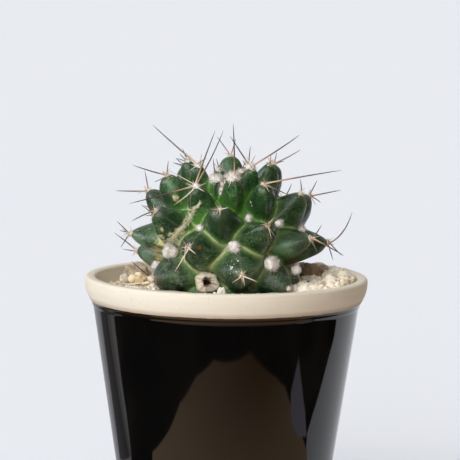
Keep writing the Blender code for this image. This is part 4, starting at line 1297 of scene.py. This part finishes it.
# Studio. A pale floor, a broad soft sun from behind the camera at the left, a weak sky all
# round, and the camera a little above the rim. Cards that only gloss sees lie round the pot as
# a dark room, a brown table and pale edges, with a window high at the left. Two sheets under
# the floor, which only matt surfaces see, give the light that it throws back, brown at the right.
CAMERA_DISTANCE = 0.7
CAMERA_ELEVATION = math.radians(7.5)
CAMERA_ROLL = math.radians(0.7)
PIXEL = 0.0002834
IMAGE_SIDE = 460
AIM_RIGHT = 3.1
AIM_UP = 45.4
SENSOR = 36.0
SUN_STRENGTH = 2.98
SUN_ANGLE = math.radians(62.0)
SUN_WAY = Vector((0.444, 0.769, -0.46))
WINDOW_WAY = Vector((-0.89, -0.16, 0.43))
WINDOW_DISTANCE, WINDOW_HALF = 2000.0, 520.0
SKY_SIDE = (-0.40, 0.50, 0.77)
SKY_STOPS = (
    (0.15, (0.02, 0.012, 0.006)), (0.40, (0.105, 0.07, 0.042)), (0.62, (0.36, 0.345, 0.33)),
    (1.0, (0.80, 0.83, 0.88)),
)
FLOOR_COLOUR = (0.86, 0.87, 0.90)


def sheet_of(name, corners, colour, glow):
    """A flat sheet with its corners in millimetres; it may give light of its own."""
    mesh = bpy.data.meshes.new(name)
    mesh.from_pydata([MM * Vector(corner) for corner in corners], [], [range(len(corners))])
    sheet = bpy.data.objects.new(name, mesh)
    bpy.context.scene.collection.objects.link(sheet)
    finish = bpy.data.materials.new(name)
    finish.use_nodes = True
    coated(finish, Base_Color=(*(part * (1.0 - glow) for part in colour), 1.0), Roughness=0.9)
    coated(finish, Emission_Color=(*colour, 1.0), Emission_Strength=glow, Specular_IOR_Level=0.0)
    mesh.materials.append(finish)
    return sheet


def square(half, height=0.0):
    return [(x * half, y * half, height) for x, y in ((-1, -1), (1, -1), (1, 1), (-1, 1))]


def unseen(sheet, matt):
    """Keeps a sheet out of the camera's sight; only matt surfaces see it, or only gloss."""
    sheet.visible_camera = sheet.visible_shadow = sheet.visible_transmission = False
    sheet.visible_diffuse = matt
    sheet.visible_glossy = not matt
    return sheet


def card(name, height, corners, colour, glow=1.0, matt=False):
    """A level sheet of that kind, its height and corners in millimetres."""
    return unseen(sheet_of(name, [(*corner[:2], height) for corner in corners], colour, glow), matt)


floor = sheet_of("floor", square(60000, -0.02), FLOOR_COLOUR, 0.0)
floor.visible_diffuse = floor.visible_shadow = False
card("bounce", -0.9, square(9000), FLOOR_COLOUR, glow=0.0, matt=True)
card("shade", -0.6, ((62, -600), (1500, -600), (1500, 30), (62, 30)), (0.42, 0.26, 0.12), matt=True)
flag = card("flag", 0.3, (
    (-99, 17), (-129, 29), (-162, 47), (-205, 67), (-242, 87), (-600, 262), (-2600, 1240), (-2600, -3000),
    (1600, -3000), (1600, 1200), (600, 375), (240, 80), (213, 64), (185, 35), (152, 9), (132, -6), (112, -17),
), (0.0, 0.0, 0.0))
board = card("board", 0.6, (
    (-89, -35), (-82, -73), (-79, -99), (-70, -113), (-58, -131), (-25, -153), (57, -152), (79, -130),
    (101, -107), (112, -86), (112, -55), (106, -32), (98, -12), (0, 0),
), (0.43, 0.28, 0.16))
card("pale", 0.7, ((152, -74), (138, -50), (125, -30), (108, -18), (100, -40), (102, -56), (118, -72)),
     (0.58, 0.54, 0.64))
card("aside", 0.1, ((-3000, -3000), (-40, -3000), (-40, 3000), (-3000, 3000)), (0.52, 0.52, 0.56))
card("dusk", 0.15, ((-80, 65), (-652, 750), (-693, 542), (-95, 22)), (0.13, 0.125, 0.13))
card("edge_light", 0.15, ((-95, 22), (-693, 542), (-703, 441), (-96, 16)), (0.34, 0.31, 0.29))
level = WINDOW_WAY.cross(Vector((0.0, 0.0, 1.0))).normalized()
window_up = level.cross(WINDOW_WAY).normalized()
unseen(sheet_of("window", [
    WINDOW_DISTANCE * WINDOW_WAY + x * level + y * window_up for x, y, _ in square(WINDOW_HALF)
], (7.0, 7.3, 7.9), 1.0), matt=False)

# The flag is mottled like a room in the dark; the board is darker at the back right.
for sheet, mottled, dark, lit in (
    (flag, True, (0.0, 0.0, 0.0), (0.055, 0.05, 0.04)),
    (board, False, (0.22, 0.11, 0.03), (0.93, 0.65, 0.43)),
):
    finish = sheet.data.materials[0]
    place = Field(finish.node_tree).node("TexCoord", {}, {}, 3)
    if mottled:
        lightness = step(grain(place, 9.0, 3.0), 0.35, 0.75)
    else:
        lightness = 0.5 * step(place.axis(0), 0.10, -0.07) + 0.5 * step(place.axis(1), -0.15, -0.05)
    coated(finish, Emission_Color=blend(lightness, dark, lit))

world = bpy.data.worlds.new("studio")
bpy.context.scene.world = world
world.use_nodes = True
sky = world.node_tree.nodes["Background"]
way = Field(world.node_tree).node("TexCoord", {}, {})
lit = way.node("VectorMath", {"operation": "DOT_PRODUCT"}, {0: way, 1: SKY_SIDE}, 1)
world.node_tree.links.new((0.5 * lit + 0.5).ramp(*SKY_STOPS).socket, sky.inputs["Color"])
sky.inputs["Strength"].default_value = 1.0

sun = bpy.data.objects.new("key", bpy.data.lights.new("key", "SUN"))
sun.data.energy = SUN_STRENGTH
sun.data.angle = SUN_ANGLE
sun.data.color = (0.97, 0.985, 1.0)
sun.rotation_euler = SUN_WAY.to_track_quat("-Z", "Y").to_euler()
bpy.context.scene.collection.objects.link(sun)

rim_centre = Vector((0.0, 0.0, RIM_HEIGHT))
back = Vector((0.0, -math.cos(CAMERA_ELEVATION), math.sin(CAMERA_ELEVATION)))
image_up = Vector((0.0, math.sin(CAMERA_ELEVATION), math.cos(CAMERA_ELEVATION)))
aim = rim_centre + PIXEL * (Vector((AIM_RIGHT, 0.0, 0.0)) + AIM_UP * image_up)
stand = rim_centre + CAMERA_DISTANCE * back
turn = (aim - stand).to_track_quat("-Z", "Y").to_matrix().to_4x4() @ Matrix.Rotation(CAMERA_ROLL, 4, "Z")
camera = bpy.data.objects.new("camera", bpy.data.cameras.new("camera"))
camera.data.sensor_width = SENSOR
camera.data.lens = SENSOR * CAMERA_DISTANCE / (IMAGE_SIDE * PIXEL)
camera.data.clip_start = 0.01
camera.data.clip_end = 200.0
camera.matrix_world = Matrix.Translation(stand) @ turn
bpy.context.scene.collection.objects.link(camera)
bpy.context.scene.camera = camera
bpy.context.scene.view_settings.view_transform = "Standard"
